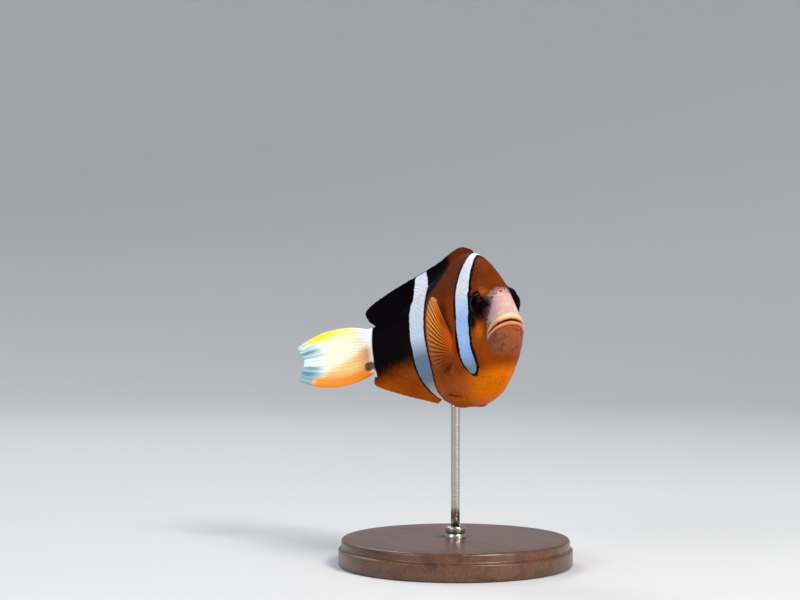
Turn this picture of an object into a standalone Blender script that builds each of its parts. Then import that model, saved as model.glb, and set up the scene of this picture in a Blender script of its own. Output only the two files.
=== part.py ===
"""A yellowtail clownfish at life size, turning to its right, on a plain display stand.

The fish is modelled straight, in millimetres: s runs back from the snout, side to the fish's left,
and height up from the line between snout and tail. Each piece is then bent along the spine and set
on the stand, in metres, with +X along the trunk towards the head and the origin under the base.
"""

import math

import bmesh
import bpy
import numpy as np
from mathutils import Matrix, Vector

MM = 0.001
GAP = 0.3  # between neighbouring pieces

# Driving lengths, in millimetres
BODY_END = 90.0  # snout to the end of the tail stalk
HEAD_END = 27.8  # rear edge of the gill covers
STALK_START = 76.0
EYE_RADIUS = 4.0
EYE_HALF_DEPTH = 3.3  # the eyes are a little flat
EYE_AT = (11.5, 5.0, 5.9)  # s, side and height of the right and left eye's centre
EYE_LOOK = (-0.13, 1.0, 0.17)  # the eyes look sideways, a little forward and up
FIN_THICKNESS = 0.6

# The pose: a turn to the right, nose a little up
STIFF_LENGTH = 24.0  # the skull doesn't bend
BEND_AT_STALK = math.radians(44.6)
BEND_POWER = 1.35
HEAD_TURN = math.radians(-9.5)  # the head's heading off the trunk's
NOSE_UP = math.radians(8.5)
ROLL_RIGHT = math.radians(2.4)

# The stand
ROD_AT = 46.0  # s of the rod under the belly
AXIS_HEIGHT = 78.0  # the fish's middle line over the table, at the rod
BASE_RADIUS = 40.0
BASE_HEIGHT = 9.0
BASE_BEVEL = 1.2
ROD_RADIUS = 1.5
FERRULE_RADIUS = 3.4
FERRULE_HEIGHT = 4.0

# Outlines as (s, value) in millimetres
BACK = [(0, 0.0), (1, 4.1), (3, 7.6), (6, 11.2), (10, 15.0), (16, 19.9), (22, 23.6), (30, 25.9),
        (38, 25.6), (50, 22.6), (62, 18.0), (74, 12.7), (84, 9.0), (92, 7.9)]
BELLY = [(0, -2.6), (1, -5.9), (3, -9.4), (6, -13.1), (10, -16.6), (16, -20.5), (24, -24.0),
         (31, -25.2), (37, -25.4), (46, -24.4), (54, -22.2), (64, -17.6), (74, -12.6), (84, -9.0), (92, -7.9)]
HALF_WIDTH = [(0, 0.4), (1, 3.6), (3, 5.1), (6, 6.0), (11, 6.9), (18, 7.9), (27, 8.8), (36, 9.0),
              (46, 8.4), (56, 7.2), (66, 5.6), (76, 3.9), (84, 2.6), (92, 1.0)]
WIDEST_HEIGHT = [(0, -1.4), (4, -4.0), (10, -5.6), (22, -6.2), (36, -5.0), (60, -1.0), (92, 0.0)]
UPPER_ROUNDNESS = [(0, 2.0), (12, 2.1), (24, 1.85), (60, 1.7), (92, 1.9)]
LOWER_ROUNDNESS = [(0, 2.0), (8, 2.3), (20, 2.5), (36, 2.4), (60, 2.0), (92, 1.9)]
HOLLOW_AT = (7.2, 3.4)  # the face is hollow in front of the eye: s and height
HOLLOW_REACH = (4.2, 4.8)
HOLLOW_DEPTH = 1.3


def smooth(points, root=False):
    """A smooth function through (x, value) pairs. With root, it is smooth in the square root of x."""
    xs, values = np.array(points, float).T
    xs = np.sqrt(xs) if root else xs
    slopes = np.gradient(values, xs)

    def at(x):
        x = math.sqrt(max(x, 0.0)) if root else x
        i = int(np.clip(np.searchsorted(xs, x) - 1, 0, len(xs) - 2))
        width = xs[i + 1] - xs[i]
        t = min(max((x - xs[i]) / width, 0.0), 1.0)
        rise = values[i + 1] - values[i]
        ease = t * t * (3 - 2 * t)
        tangents = t * (1 - t) * ((1 - t) * slopes[i] - t * slopes[i + 1])
        return float(values[i] + ease * rise + tangents * width)

    return at


back = smooth(BACK, root=True)
belly = smooth(BELLY, root=True)
half_width = smooth(HALF_WIDTH, root=True)
widest_height = smooth(WIDEST_HEIGHT)
upper_roundness = smooth(UPPER_ROUNDNESS)
lower_roundness = smooth(LOWER_ROUNDNESS)


def hollow(s, height):
    """How much narrower the face is at s and a height than its plain sections."""
    along = (s - HOLLOW_AT[0]) / HOLLOW_REACH[0]
    up = (height - HOLLOW_AT[1]) / HOLLOW_REACH[1]
    return HOLLOW_DEPTH * math.exp(-along * along - up * up)


def ring_point(s, angle):
    """The skin at s, at an angle round the body: 0 is the left side and 90 degrees the back."""
    across, up = math.cos(angle), math.sin(angle)
    power = 2 / (upper_roundness(s) if up > 0 else lower_roundness(s))
    middle = widest_height(s)
    reach = (back(s) - middle) if up > 0 else (middle - belly(s))
    height = middle + math.copysign(reach * abs(up) ** power, up)
    width = half_width(s) - hollow(s, height) * min(s / 3, 1)
    side = math.copysign(width * abs(across) ** power, across)
    return Vector((s, side, height))


def flank(s, height):
    """How far the skin stands off the middle plane at s and a height."""
    middle = widest_height(s)
    above = height > middle
    n = upper_roundness(s) if above else lower_roundness(s)
    reach = (back(s) - middle) if above else (middle - belly(s))
    share = min(abs(height - middle) / reach, 1.0)
    return half_width(s) * (1 - share**n) ** (1 / n)


def off_skin(s, angle, distance):
    """A point at a distance out from the skin at s and an angle."""
    here = ring_point(s, angle)
    along = ring_point(s + 0.1, angle) - ring_point(s - 0.1, angle)
    around = ring_point(s, angle + 0.01) - ring_point(s, angle - 0.01)
    return here + around.cross(along).normalized() * distance


def spine_table(length=120.0, steps=480):
    """The bent middle line: s, x, y and heading at even steps from the snout back."""
    s = np.linspace(0.0, length, steps + 1)
    share = np.clip((s - STIFF_LENGTH) / (BODY_END - STIFF_LENGTH), 0, None)
    heading = BEND_AT_STALK * share**BEND_POWER
    step = np.diff(s)
    x = -np.concatenate([[0], np.cumsum(step * np.cos((heading[1:] + heading[:-1]) / 2))])
    y = -np.concatenate([[0], np.cumsum(step * np.sin((heading[1:] + heading[:-1]) / 2))])
    return s, x, y, heading


SPINE = spine_table()


def bent(point):
    """A point of the straight fish, moved to where the bent spine carries it."""
    s, side, height = point
    x, y, heading = (float(np.interp(s, SPINE[0], values)) for values in SPINE[1:])
    x += min(s, 0.0) * -1.0
    return Vector((x - side * math.sin(heading), y + side * math.cos(heading), height))


TILT = (
    Matrix.Rotation(HEAD_TURN, 3, "Z")
    @ Matrix.Rotation(-NOSE_UP, 3, "Y")
    @ Matrix.Rotation(ROLL_RIGHT, 3, "X")
)
OVER_ORIGIN = Vector((0, 0, AXIS_HEIGHT)) - TILT @ bent((ROD_AT, 0, 0))


def placed(point):
    """A point of the straight fish as it stands, in metres."""
    return (TILT @ bent(point) + OVER_ORIGIN) * MM


def collection(name):
    made = bpy.data.collections.new(name)
    bpy.context.scene.collection.children.link(made)
    return made


def finish(name, colour, roughness, metallic=0.0):
    """A Principled material of one plain colour."""
    material = bpy.data.materials.new(name)
    material.use_nodes = True
    shader = material.node_tree.nodes["Principled BSDF"]
    shader.inputs["Base Color"].default_value = (*colour, 1)
    shader.inputs["Roughness"].default_value = roughness
    shader.inputs["Metallic"].default_value = metallic
    material.diffuse_color = (*colour, 1)
    return material


def piece(name, mesh, material):
    """A named object in the fish's collection, from a bmesh or a mesh."""
    if isinstance(mesh, bmesh.types.BMesh):
        data = bpy.data.meshes.new(name)
        mesh.to_mesh(data)
        mesh.free()
    else:
        data = mesh
    made = bpy.data.objects.new(name, data)
    FISH.objects.link(made)
    data.materials.clear()
    data.materials.append(material)
    data.shade_smooth()
    data.set_sharp_from_angle(angle=math.radians(40))
    return made


def whole_body(rings=44, segments=36):
    """The straight body in one closed skin, from a sphere whose poles are the mouth and the tail."""
    body = bmesh.new()
    bmesh.ops.create_uvsphere(body, u_segments=segments, v_segments=rings, radius=1)
    for corner in body.verts:
        share = math.acos(max(-1.0, min(1.0, corner.co.z))) / math.pi
        s = (BODY_END + 2) * share**2
        flat = corner.co.to_2d().length
        if flat < 1e-5:
            corner.co = (s, 0, (back(s) + belly(s)) / 2)
        else:
            corner.co = ring_point(s, math.atan2(corner.co.y, corner.co.x))
    bmesh.ops.recalc_face_normals(body, faces=body.faces)
    return body


def cut_across(body, s, keep_rear):
    """Cuts the straight body square across at s and closes it."""
    cut = bmesh.ops.bisect_plane(
        body,
        geom=body.verts[:] + body.edges[:] + body.faces[:],
        plane_co=(s, 0, 0),
        plane_no=(1, 0, 0),
        clear_inner=keep_rear,
        clear_outer=not keep_rear,
    )
    rim = [g for g in cut["geom_cut"] if isinstance(g, bmesh.types.BMEdge)]
    bmesh.ops.edgenet_fill(body, edges=rim)
    bmesh.ops.recalc_face_normals(body, faces=body.faces)


def length_of_body(start, end):
    """The straight body from start to end, as a bmesh."""
    body = whole_body()
    if start > 0:
        cut_across(body, start, keep_rear=True)
    cut_across(body, end, keep_rear=False)
    return body


def bend_into_place(mesh):
    """Triangles first, so that the bent faces stay as they were cut."""
    bmesh.ops.triangulate(mesh, faces=mesh.faces)
    for corner in mesh.verts:
        corner.co = placed(corner.co)
    mesh.normal_update()
    bmesh.ops.recalc_face_normals(mesh, faces=mesh.faces)
    return mesh


def helper(name, mesh):
    """A hidden object for a Boolean."""
    data = bpy.data.meshes.new(name)
    mesh.to_mesh(data)
    mesh.free()
    made = bpy.data.objects.new(name, data)
    CUTTERS.objects.link(made)
    made.hide_render = True
    made.display_type = "WIRE"
    return made


def combined(target, operation, cutter):
    """The target's mesh after one Boolean, as a new bmesh. The target stays as it was."""
    modifier = target.modifiers.new(operation.title(), "BOOLEAN")
    modifier.operation = operation
    modifier.object = cutter
    bpy.context.view_layer.update()
    graph = bpy.context.evaluated_depsgraph_get()
    result = bpy.data.meshes.new_from_object(target.evaluated_get(graph))
    target.modifiers.remove(modifier)
    mesh = bmesh.new()
    mesh.from_mesh(result)
    bpy.data.meshes.remove(result)
    return mesh


def grown(outline, by):
    """A closed outline with each corner moved out by a distance."""
    centre = sum((Vector(p) for p in outline), Vector((0, 0))) / len(outline)
    moved = []
    for i, corner in enumerate(outline):
        before, after = Vector(outline[i - 1]), Vector(outline[(i + 1) % len(outline)])
        along = (after - before).normalized()
        out = Vector((along.y, -along.x))
        out = out if out.dot(Vector(corner) - centre) > 0 else -out
        moved.append(Vector(corner) + out * by)
    return moved


def prism(outline, inner, outer):
    """A solid of one side-view outline of (s, height), from the inner to the outer side distance."""
    solid = bmesh.new()
    rim = [solid.verts.new((p[0], inner, p[1])) for p in outline]
    lid = solid.faces.new(rim)
    raised = bmesh.ops.extrude_face_region(solid, geom=[lid])["geom"]
    corners = [g for g in raised if isinstance(g, bmesh.types.BMVert)]
    bmesh.ops.translate(solid, verts=corners, vec=(0, outer - inner, 0))
    bmesh.ops.recalc_face_normals(solid, faces=solid.faces)
    return solid


# The lower jaw in side view: the mouth's line down to its corner, then down the cheek to the throat
JAW = [(-4, -2.3), (0.6, -2.5), (2.6, -3.5), (4.6, -5.6), (6.2, -8.8), (7.2, -12.5), (7.4, -19), (-4, -19)]
GILL_FRONT = 16.4
GILL_MIDDLE = (16.0, -2.5)
GILL_REACH = (11.0, 13.5)
GILL_DEPTH = 4.6  # inner side of the gill cover off the middle plane
CHEEK_ARC_STEPS = 14


def gill_outline():
    """The gill cover in side view: straight in front, and half an ellipse behind."""
    half_turn = [math.pi * (i / CHEEK_ARC_STEPS - 0.5) for i in range(CHEEK_ARC_STEPS + 1)]
    arc = [
        (
            max(GILL_MIDDLE[0] + GILL_REACH[0] * math.cos(a), GILL_FRONT),
            GILL_MIDDLE[1] + GILL_REACH[1] * math.sin(a),
        )
        for a in half_turn
    ]
    return arc


def eyeball(side, grown_by=0.0, segments=22, rings=12):
    """An eye, or the room it needs: a sphere, flattened along the way it looks."""
    centre = Vector((EYE_AT[0], side * EYE_AT[1], EYE_AT[2]))
    look = Vector((EYE_LOOK[0], side * EYE_LOOK[1], EYE_LOOK[2]))
    turn = Vector((0, 0, 1)).rotation_difference(look)
    sphere = bmesh.new()
    bmesh.ops.create_uvsphere(sphere, u_segments=segments, v_segments=rings, radius=1)
    radius, depth = EYE_RADIUS + grown_by, EYE_HALF_DEPTH + grown_by
    for corner in sphere.verts:
        corner.co = centre + turn @ Vector((corner.co.x * radius, corner.co.y * radius, corner.co.z * depth))
    sphere.normal_update()
    bmesh.ops.recalc_face_normals(sphere, faces=sphere.faces)
    return sphere


def make_head():
    """The head's core, the lower jaw, both gill covers and both eyes, parted by thin cuts."""
    core = helper("head_core", length_of_body(0, HEAD_END))
    jaw = combined(core, "INTERSECT", helper("jaw_block", prism(JAW, -12, 12)))
    piece("lower_jaw", bend_into_place(jaw), SKIN_ORANGE)
    jaw_room = helper("jaw_room", prism(grown(JAW, GAP), -12, 12))
    core = helper("head_over_jaw", combined(core, "DIFFERENCE", jaw_room))
    for side, name in ((1, "left"), (-1, "right")):
        block = helper(f"gill_block_{name}", prism(gill_outline(), side * GILL_DEPTH, side * 12))
        cover = combined(core, "INTERSECT", block)
        piece(f"gill_cover_{name}", bend_into_place(cover), SKIN_ORANGE)
        room = prism(grown(gill_outline(), GAP), side * (GILL_DEPTH - GAP), side * 12)
        core = helper(f"head_{name}", combined(core, "DIFFERENCE", helper(f"gill_room_{name}", room)))
        socket = helper(f"socket_{name}", eyeball(side, GAP))
        core = helper(f"head_socket_{name}", combined(core, "DIFFERENCE", socket))
        piece(f"eye_{name}", bend_into_place(eyeball(side)), EYE_BLACK)
    head = bmesh.new()
    head.from_mesh(core.data)
    piece("head", bend_into_place(head), SKIN_ORANGE)


def fin(name, columns, rows, shape, material):
    """A thin plate: a unit grid doubled into two faces, with each corner set by shape(u, v, face).
    u runs along the fin's base, v from base to margin, and face is -1 or 1."""
    plate = bmesh.new()
    bmesh.ops.create_grid(plate, x_segments=columns, y_segments=rows, size=0.5)
    doubled = bmesh.ops.extrude_face_region(plate, geom=plate.faces[:])["geom"]
    corners = [g for g in doubled if isinstance(g, bmesh.types.BMVert)]
    bmesh.ops.translate(plate, verts=corners, vec=(0, 0, 1))
    for corner in plate.verts:
        u, v = corner.co.x + 0.5, corner.co.y + 0.5
        corner.co = shape(u, v, 2 * corner.co.z - 1)
    bmesh.ops.recalc_face_normals(plate, faces=plate.faces)
    return piece(name, bend_into_place(plate), material)


def path(points):
    """A smooth path through points spaced evenly from 0 to 1."""
    shares = [i / (len(points) - 1) for i in range(len(points))]
    axes = [smooth(list(zip(shares, values))) for values in zip(*points)]
    return lambda u: Vector([axis(u) for axis in axes])


def between(low, high, share):
    return low + (high - low) * share


def thickness(base, v):
    """Half a fin's thickness: base at its root, thinning to the least at the margin."""
    return between(base, FIN_THICKNESS / 2, min(v * 1.6, 1.0))


# Margins of the fins that stand on the middle plane, as (s, height) from front to rear
DORSAL_BASE = (26.4, 84.5)
DORSAL_MARGIN = path([(27.4, 26.3), (36.0, 28.7), (44, 28.2), (52, 26.3), (60, 24.7), (67, 23.2),
                      (74, 21.4), (80.5, 19.2), (86.8, 16.4), (89.6, 13.8), (88.4, 10.6)])
ANAL_BASE = (56.5, 86.0)
ANAL_MARGIN = path([(60, -22.0), (66, -20.3), (72, -18.6), (79, -16.3), (85.2, -13.9), (88.3, -11.9), (87.9, -9.2)])
SPINY_SHARE = 0.56  # of the dorsal fin's base


def dorsal(u, v, face):
    s = between(*DORSAL_BASE, u)
    root = Vector((s, back(s) + GAP))
    spot = root.lerp(DORSAL_MARGIN(u), v)
    return Vector((spot.x, face * thickness(0.8, v), spot.y))


def anal(u, v, face):
    s = between(*ANAL_BASE, u)
    root = Vector((s, belly(s) - GAP))
    spot = root.lerp(ANAL_MARGIN(u), v)
    return Vector((spot.x, face * thickness(0.7, v), spot.y))


TAIL_MARGIN = path([(116.6, 4.2), (115.8, 1.8), (114.6, -1.0), (115.6, -4.6), (116.9, -8.0)])
TAIL_BULGE = (3.6, 3.7)  # how far the closed fin's upper and lower edges bow out


def tail(u, v, face):
    root = Vector((BODY_END + GAP, between(7.7, -7.7, u)))
    spot = root.lerp(TAIL_MARGIN(u), v)
    spot.y += TAIL_BULGE[u > 0.5] * (1 - 2 * u) * 4 * v * (1 - v)
    return Vector((spot.x, face * thickness(1.0, v), spot.y))


# Margins of the paired fins, as (s, side, height) from the leading ray round to the last
PECTORAL_ROOT = path([(28.9, 0, -3.6), (29.6, 0, -5.8), (30.2, 0, -8.0), (30.4, 0, -10.2)])
PECTORAL_MARGIN = path([(36.0, 11.0, 11.0), (39.6, 11.4, 12.4), (44.0, 11.3, 8.8), (46.2, 11.0, 3.2),
                        (46.8, 10.7, -2.8), (45.4, 10.5, -8.2), (41.8, 10.2, -12.2), (37.4, 9.9, -13.8)])
# The folded pelvic fins lie on the belly, as (s, degrees round the body), from the leading ray in
PELVIC_ROOT = path([(30.6, -54, 0), (32.4, -64, 0), (33.6, -75, 0)])
PELVIC_MARGIN = path([(43.5, -48, 0), (46.6, -54, 0), (47.4, -63, 0), (45.0, -71, 0), (41.0, -76, 0)])


def pectoral(side):
    def shape(u, v, face):
        root = PECTORAL_ROOT(u)
        root.y = flank(root.x, root.z) + GAP + 0.7
        spot = root.lerp(PECTORAL_MARGIN(u), v)
        return Vector((spot.x, side * (spot.y + face * thickness(0.6, v)), spot.z))

    return shape


def pelvic(side):
    def shape(u, v, face):
        spot = PELVIC_ROOT(u).lerp(PELVIC_MARGIN(u), v)
        off = off_skin(spot.x, math.radians(spot.y), GAP + 0.5 + face * thickness(0.4, v))
        return Vector((off.x, side * off.y, off.z))

    return shape


def make_fins():
    spiny = lambda u, v, face: dorsal(u * SPINY_SHARE, v, face)
    cut = GAP / (DORSAL_BASE[1] - DORSAL_BASE[0])
    soft = lambda u, v, face: dorsal(between(SPINY_SHARE + cut * 1.6, 1, u), v, face)
    fin("dorsal_fin_spiny", 18, 3, spiny, FIN_BLACK)
    fin("dorsal_fin_soft", 16, 4, soft, FIN_BLACK)
    fin("anal_fin", 16, 3, anal, FIN_ORANGE)
    fin("tail_fin", 14, 10, tail, FIN_YELLOW)
    for side, name in ((1, "left"), (-1, "right")):
        fin(f"pectoral_fin_{name}", 16, 5, pectoral(side), FIN_ORANGE)
        fin(f"pelvic_fin_{name}", 8, 8, pelvic(side), FIN_ORANGE)


def make_trunk():
    trunk = length_of_body(HEAD_END + GAP, STALK_START)
    piece("trunk", bend_into_place(trunk), SKIN_DARK)
    stalk = length_of_body(STALK_START + GAP, BODY_END)
    piece("tail_stalk", bend_into_place(stalk), SKIN_DARK)


def turned(radius, bottom, top, bevel, segments=48):
    """An upright round solid about the origin, with its top edge rounded."""
    solid = bmesh.new()
    bmesh.ops.create_cone(
        solid, cap_ends=True, segments=segments, radius1=radius, radius2=radius, depth=top - bottom
    )
    bmesh.ops.translate(solid, verts=solid.verts, vec=(0, 0, (top + bottom) / 2))
    if bevel:
        rim = [e for e in solid.edges if all(abs(v.co.z - top) < 1e-4 for v in e.verts)]
        bmesh.ops.bevel(
            solid, geom=rim, offset=bevel, offset_type="OFFSET", segments=3, profile=0.5,
            affect="EDGES", material=-1,
        )
    bmesh.ops.scale(solid, vec=(MM, MM, MM), verts=solid.verts)
    return solid


def make_stand():
    """A wooden disc, a metal ferrule on it and a rod up to the belly."""
    belly_height = min(
        placed((ROD_AT + ROD_RADIUS * math.cos(a), 0, belly(ROD_AT + ROD_RADIUS * math.cos(a)))).z / MM
        for a in (0, math.pi)
    )
    piece("stand_base", turned(BASE_RADIUS, 0, BASE_HEIGHT, BASE_BEVEL, 64), WOOD)
    ferrule_foot = BASE_HEIGHT + GAP / 10
    ferrule_top = ferrule_foot + FERRULE_HEIGHT
    piece("stand_ferrule", turned(FERRULE_RADIUS, ferrule_foot, ferrule_top, 0.8, 32), METAL)
    rod = turned(ROD_RADIUS, ferrule_top + GAP / 10, belly_height - GAP, 0, 20)
    piece("stand_rod", rod, METAL)


for old in list(bpy.data.objects):
    bpy.data.objects.remove(old)
FISH = collection("clownfish")
CUTTERS = collection("cutters")
SKIN_ORANGE = finish("skin_orange", (0.32, 0.075, 0.012), 0.4)
SKIN_DARK = finish("skin_dark", (0.012, 0.009, 0.012), 0.38)
FIN_BLACK = finish("fin_black", (0.015, 0.011, 0.014), 0.45)
FIN_ORANGE = finish("fin_orange", (0.62, 0.17, 0.015), 0.45)
FIN_YELLOW = finish("fin_yellow", (0.88, 0.72, 0.33), 0.45)
EYE_BLACK = finish("eye_black", (0.01, 0.01, 0.012), 0.08)
WOOD = finish("stand_wood", (0.10, 0.045, 0.02), 0.4)
METAL = finish("stand_steel", (0.55, 0.54, 0.52), 0.3, 1.0)
make_head()
make_trunk()
make_fins()
make_stand()
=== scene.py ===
"""A yellowtail clownfish at life size, turning to its right, on a walnut and steel display stand.

The fish is shaped straight, in millimetres: s runs back from the snout, side to the fish's left, and
height up from the line between snout and tail. A point is then bent along the spine and set on the
stand, in metres, as the CAD solids are. Most shapes are arrays of such points.
"""

import math

import bmesh
import bpy
import numpy as np
from mathutils import Matrix, Vector


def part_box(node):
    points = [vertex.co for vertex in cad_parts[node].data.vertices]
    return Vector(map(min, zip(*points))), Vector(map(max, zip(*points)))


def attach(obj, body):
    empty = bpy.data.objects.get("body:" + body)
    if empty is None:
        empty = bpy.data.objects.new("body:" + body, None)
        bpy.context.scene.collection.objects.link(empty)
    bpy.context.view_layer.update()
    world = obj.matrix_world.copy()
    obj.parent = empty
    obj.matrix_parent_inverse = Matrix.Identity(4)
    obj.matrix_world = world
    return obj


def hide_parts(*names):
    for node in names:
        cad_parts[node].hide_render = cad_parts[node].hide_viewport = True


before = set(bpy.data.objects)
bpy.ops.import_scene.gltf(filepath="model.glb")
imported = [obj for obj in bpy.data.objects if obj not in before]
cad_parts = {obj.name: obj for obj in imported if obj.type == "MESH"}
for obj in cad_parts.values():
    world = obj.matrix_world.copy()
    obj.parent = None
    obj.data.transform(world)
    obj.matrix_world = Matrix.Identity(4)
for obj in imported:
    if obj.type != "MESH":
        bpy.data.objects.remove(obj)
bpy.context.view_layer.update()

MM = 0.001
BODY = "root"
TURN = 2 * math.pi

# The pose
STIFF_LENGTH = 24.0  # ahead of this s the skull keeps the spine straight
STALK_END = 90.0
BEND_AT_STALK = math.radians(44.6)
BEND_POWER = 1.35  # over 1, so the bend tightens towards the tail
HEAD_TURN = math.radians(-9.5)
NOSE_UP = math.radians(8.5)
ROLL_RIGHT = math.radians(2.4)
ROD_AT = 46.0  # this s of the middle line is over the middle of the stand
AXIS_HEIGHT = 78.0  # and this high over the floor

# The plain body: (s, value) in millimetres
BACK = [(0, 0.0), (1, 4.1), (3, 7.6), (6, 11.2), (10, 15.0), (16, 19.9), (22, 23.6), (30, 25.9),
        (38, 25.6), (50, 22.6), (62, 18.0), (74, 12.7), (84, 9.0), (92, 7.9)]
BELLY = [(0, -2.6), (1, -5.9), (3, -9.4), (6, -13.1), (10, -16.6), (16, -20.5), (24, -24.0),
         (31, -25.2), (37, -25.4), (46, -24.4), (54, -22.2), (64, -17.6), (74, -12.6), (84, -9.0),
         (92, -7.9)]
HALF_WIDTH = [(0, 0.4), (1, 3.6), (3, 5.1), (6, 6.0), (11, 6.9), (18, 7.9), (27, 8.8), (36, 9.0),
              (46, 8.4), (56, 7.2), (66, 5.6), (76, 3.9), (84, 2.6), (92, 1.0)]
WIDEST_HEIGHT = [(0, -1.4), (4, -4.0), (10, -5.6), (22, -6.2), (36, -5.0), (60, -1.0), (92, 0.0)]
UPPER_ROUNDNESS = [(0, 2.0), (12, 2.1), (24, 1.85), (60, 1.7), (92, 1.9)]
LOWER_ROUNDNESS = [(0, 2.0), (8, 2.3), (20, 2.5), (36, 2.4), (60, 2.0), (92, 1.9)]
HOLLOW_AT = (7.2, 3.4)  # the snout is hollowed here, between nostril and eye: (s, height)
HOLLOW_REACH = (4.2, 4.8)
HOLLOW_DEPTH = 1.3
EYE_AT = (11.5, 5.0, 5.9)  # centre of the left eye: (s, side, height)
EYE_LOOK = (-0.13, 1.0, 0.17)  # the way it faces
EYE_RADIUS = 4.0
EYE_HALF_DEPTH = 3.3
COAT_DEPTH = 0.12  # the skin lies this far inside the solids


def smooth(points, root=False):
    """A smooth function through (x, value) pairs. With root, it is smooth in the square root of x."""
    xs, values = np.array(points, float).T
    xs = np.sqrt(xs) if root else xs
    slopes = np.gradient(values, xs)

    def at(x):
        x = np.asarray(x, float)
        x = np.sqrt(np.maximum(x, 0)) if root else x
        i = np.clip(np.searchsorted(xs, x) - 1, 0, len(xs) - 2)
        width = xs[i + 1] - xs[i]
        t = np.clip((x - xs[i]) / width, 0, 1)
        rise = values[i + 1] - values[i]
        tangents = t * (1 - t) * ((1 - t) * slopes[i] - t * slopes[i + 1])
        return values[i] + t * t * (3 - 2 * t) * rise + tangents * width

    return at


def step(low, high, x):
    """0 below low and 1 above high, with a smooth rise between. High may be the lower one."""
    t = np.clip((np.asarray(x, float) - low) / (high - low), 0, 1)
    return t * t * (3 - 2 * t)


def bump(x, width):
    """A smooth hump of height 1 about 0."""
    return np.exp(-((np.asarray(x, float) / width) ** 2))


back = smooth(BACK, root=True)
belly = smooth(BELLY, root=True)
half_width = smooth(HALF_WIDTH, root=True)
widest_height = smooth(WIDEST_HEIGHT)
upper_roundness = smooth(UPPER_ROUNDNESS)
lower_roundness = smooth(LOWER_ROUNDNESS)


def ring_point(s, angle):
    """The plain body at s and an angle round it: 0 is the left side and 90 degrees the back."""
    across, up = np.cos(angle), np.sin(angle)
    power = 2 / np.where(up > 0, upper_roundness(s), lower_roundness(s))
    middle = widest_height(s)
    reach = np.where(up > 0, back(s) - middle, middle - belly(s))
    height = middle + np.sign(up) * reach * np.abs(up) ** power
    off = ((s - HOLLOW_AT[0]) / HOLLOW_REACH[0]) ** 2 + ((height - HOLLOW_AT[1]) / HOLLOW_REACH[1]) ** 2
    width = half_width(s) - HOLLOW_DEPTH * np.exp(-off) * np.clip(s / 3, 0, 1)
    side = np.sign(across) * width * np.abs(across) ** power
    return np.stack(np.broadcast_arrays(s, side, height), -1)


def spine_table(length=125.0, steps=500):
    """The bent middle line: s, x, y and heading at even steps from the snout back."""
    s = np.linspace(0.0, length, steps + 1)
    share = np.clip((s - STIFF_LENGTH) / (STALK_END - STIFF_LENGTH), 0, None)
    heading = BEND_AT_STALK * share**BEND_POWER
    middle, gap = (heading[1:] + heading[:-1]) / 2, np.diff(s)
    x = -np.concatenate([[0], np.cumsum(gap * np.cos(middle))])
    y = -np.concatenate([[0], np.cumsum(gap * np.sin(middle))])
    return s, x, y, heading


SPINE = spine_table()


def bent(points):
    """Bends points of the straight fish along its spine. Ahead of the snout the line runs straight on."""
    s, side, height = np.moveaxis(np.asarray(points, float), -1, 0)
    x, y, heading = (np.interp(s, SPINE[0], values) for values in SPINE[1:])
    x = x - np.minimum(s, 0)
    return np.stack([x - side * np.sin(heading), y + side * np.cos(heading), height], -1)


TILT = np.array(
    Matrix.Rotation(HEAD_TURN, 3, "Z")
    @ Matrix.Rotation(-NOSE_UP, 3, "Y")
    @ Matrix.Rotation(ROLL_RIGHT, 3, "X")
)
OVER_ORIGIN = np.array((0, 0, AXIS_HEIGHT)) - bent((ROD_AT, 0, 0)) @ TILT.T


def placed(points):
    """Points of the straight fish in millimetres, as they stand, in metres."""
    return (bent(points) @ TILT.T + OVER_ORIGIN) * MM


# ---------------------------------------------------------------- meshes


def read(mesh):
    co = np.empty(len(mesh.vertices) * 3, np.float32)
    mesh.vertices.foreach_get("co", co)
    return co.reshape(-1, 3).astype(float)


def note(mesh, name, values):
    """Stores a value of three parts for each vertex, for the materials."""
    layer = mesh.attributes.new(name, "FLOAT_VECTOR", "POINT")
    layer.data.foreach_set("vector", np.asarray(values, np.float32).ravel())


def settle(mesh, points):
    """Gives a mesh its straight-fish points: it keeps them as fish_mm, and is moved to its place."""
    note(mesh, "fish_mm", points)
    mesh.vertices.foreach_set("co", placed(points).astype(np.float32).ravel())
    face_out(mesh)


def face_out(mesh):
    """Turns the faces outward and shades them smooth."""
    work = bmesh.new()
    work.from_mesh(mesh)
    bmesh.ops.recalc_face_normals(work, faces=work.faces)
    work.to_mesh(mesh)
    work.free()
    mesh.shade_smooth()
    mesh.update()


def as_mesh(name, work):
    mesh = bpy.data.meshes.new(name)
    work.to_mesh(mesh)
    work.free()
    return mesh


def in_scene(name, data):
    made = bpy.data.objects.new(name, data)
    bpy.context.scene.collection.objects.link(made)
    return made


def piece(name, mesh, material, replaces=()):
    """Makes a finished piece of the model's one body, in place of the solids that it replaces."""
    made = in_scene(name, mesh)
    mesh.materials.append(material)
    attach(made, BODY)
    if replaces:
        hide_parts(*replaces)


def ball_mesh(name, segments, rings):
    work = bmesh.new()
    bmesh.ops.create_uvsphere(work, u_segments=segments, v_segments=rings, radius=1)
    return as_mesh(name, work)


def doubled(work):
    """Gives a flat sheet a second face at height 1, closed round its rim."""
    upper = bmesh.ops.extrude_face_region(work, geom=work.faces[:])["geom"]
    corners = [g for g in upper if isinstance(g, bmesh.types.BMVert)]
    bmesh.ops.translate(work, verts=corners, vec=(0, 0, 1))


def sheet_mesh(name, columns, rows):
    """A doubled grid, from 0 to 1 both ways."""
    work = bmesh.new()
    bmesh.ops.create_grid(work, x_segments=columns, y_segments=rows, size=0.5)
    doubled(work)
    bmesh.ops.translate(work, verts=work.verts, vec=(0.5, 0.5, 0))
    return as_mesh(name, work)


# ---------------------------------------------------------------- skin

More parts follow.
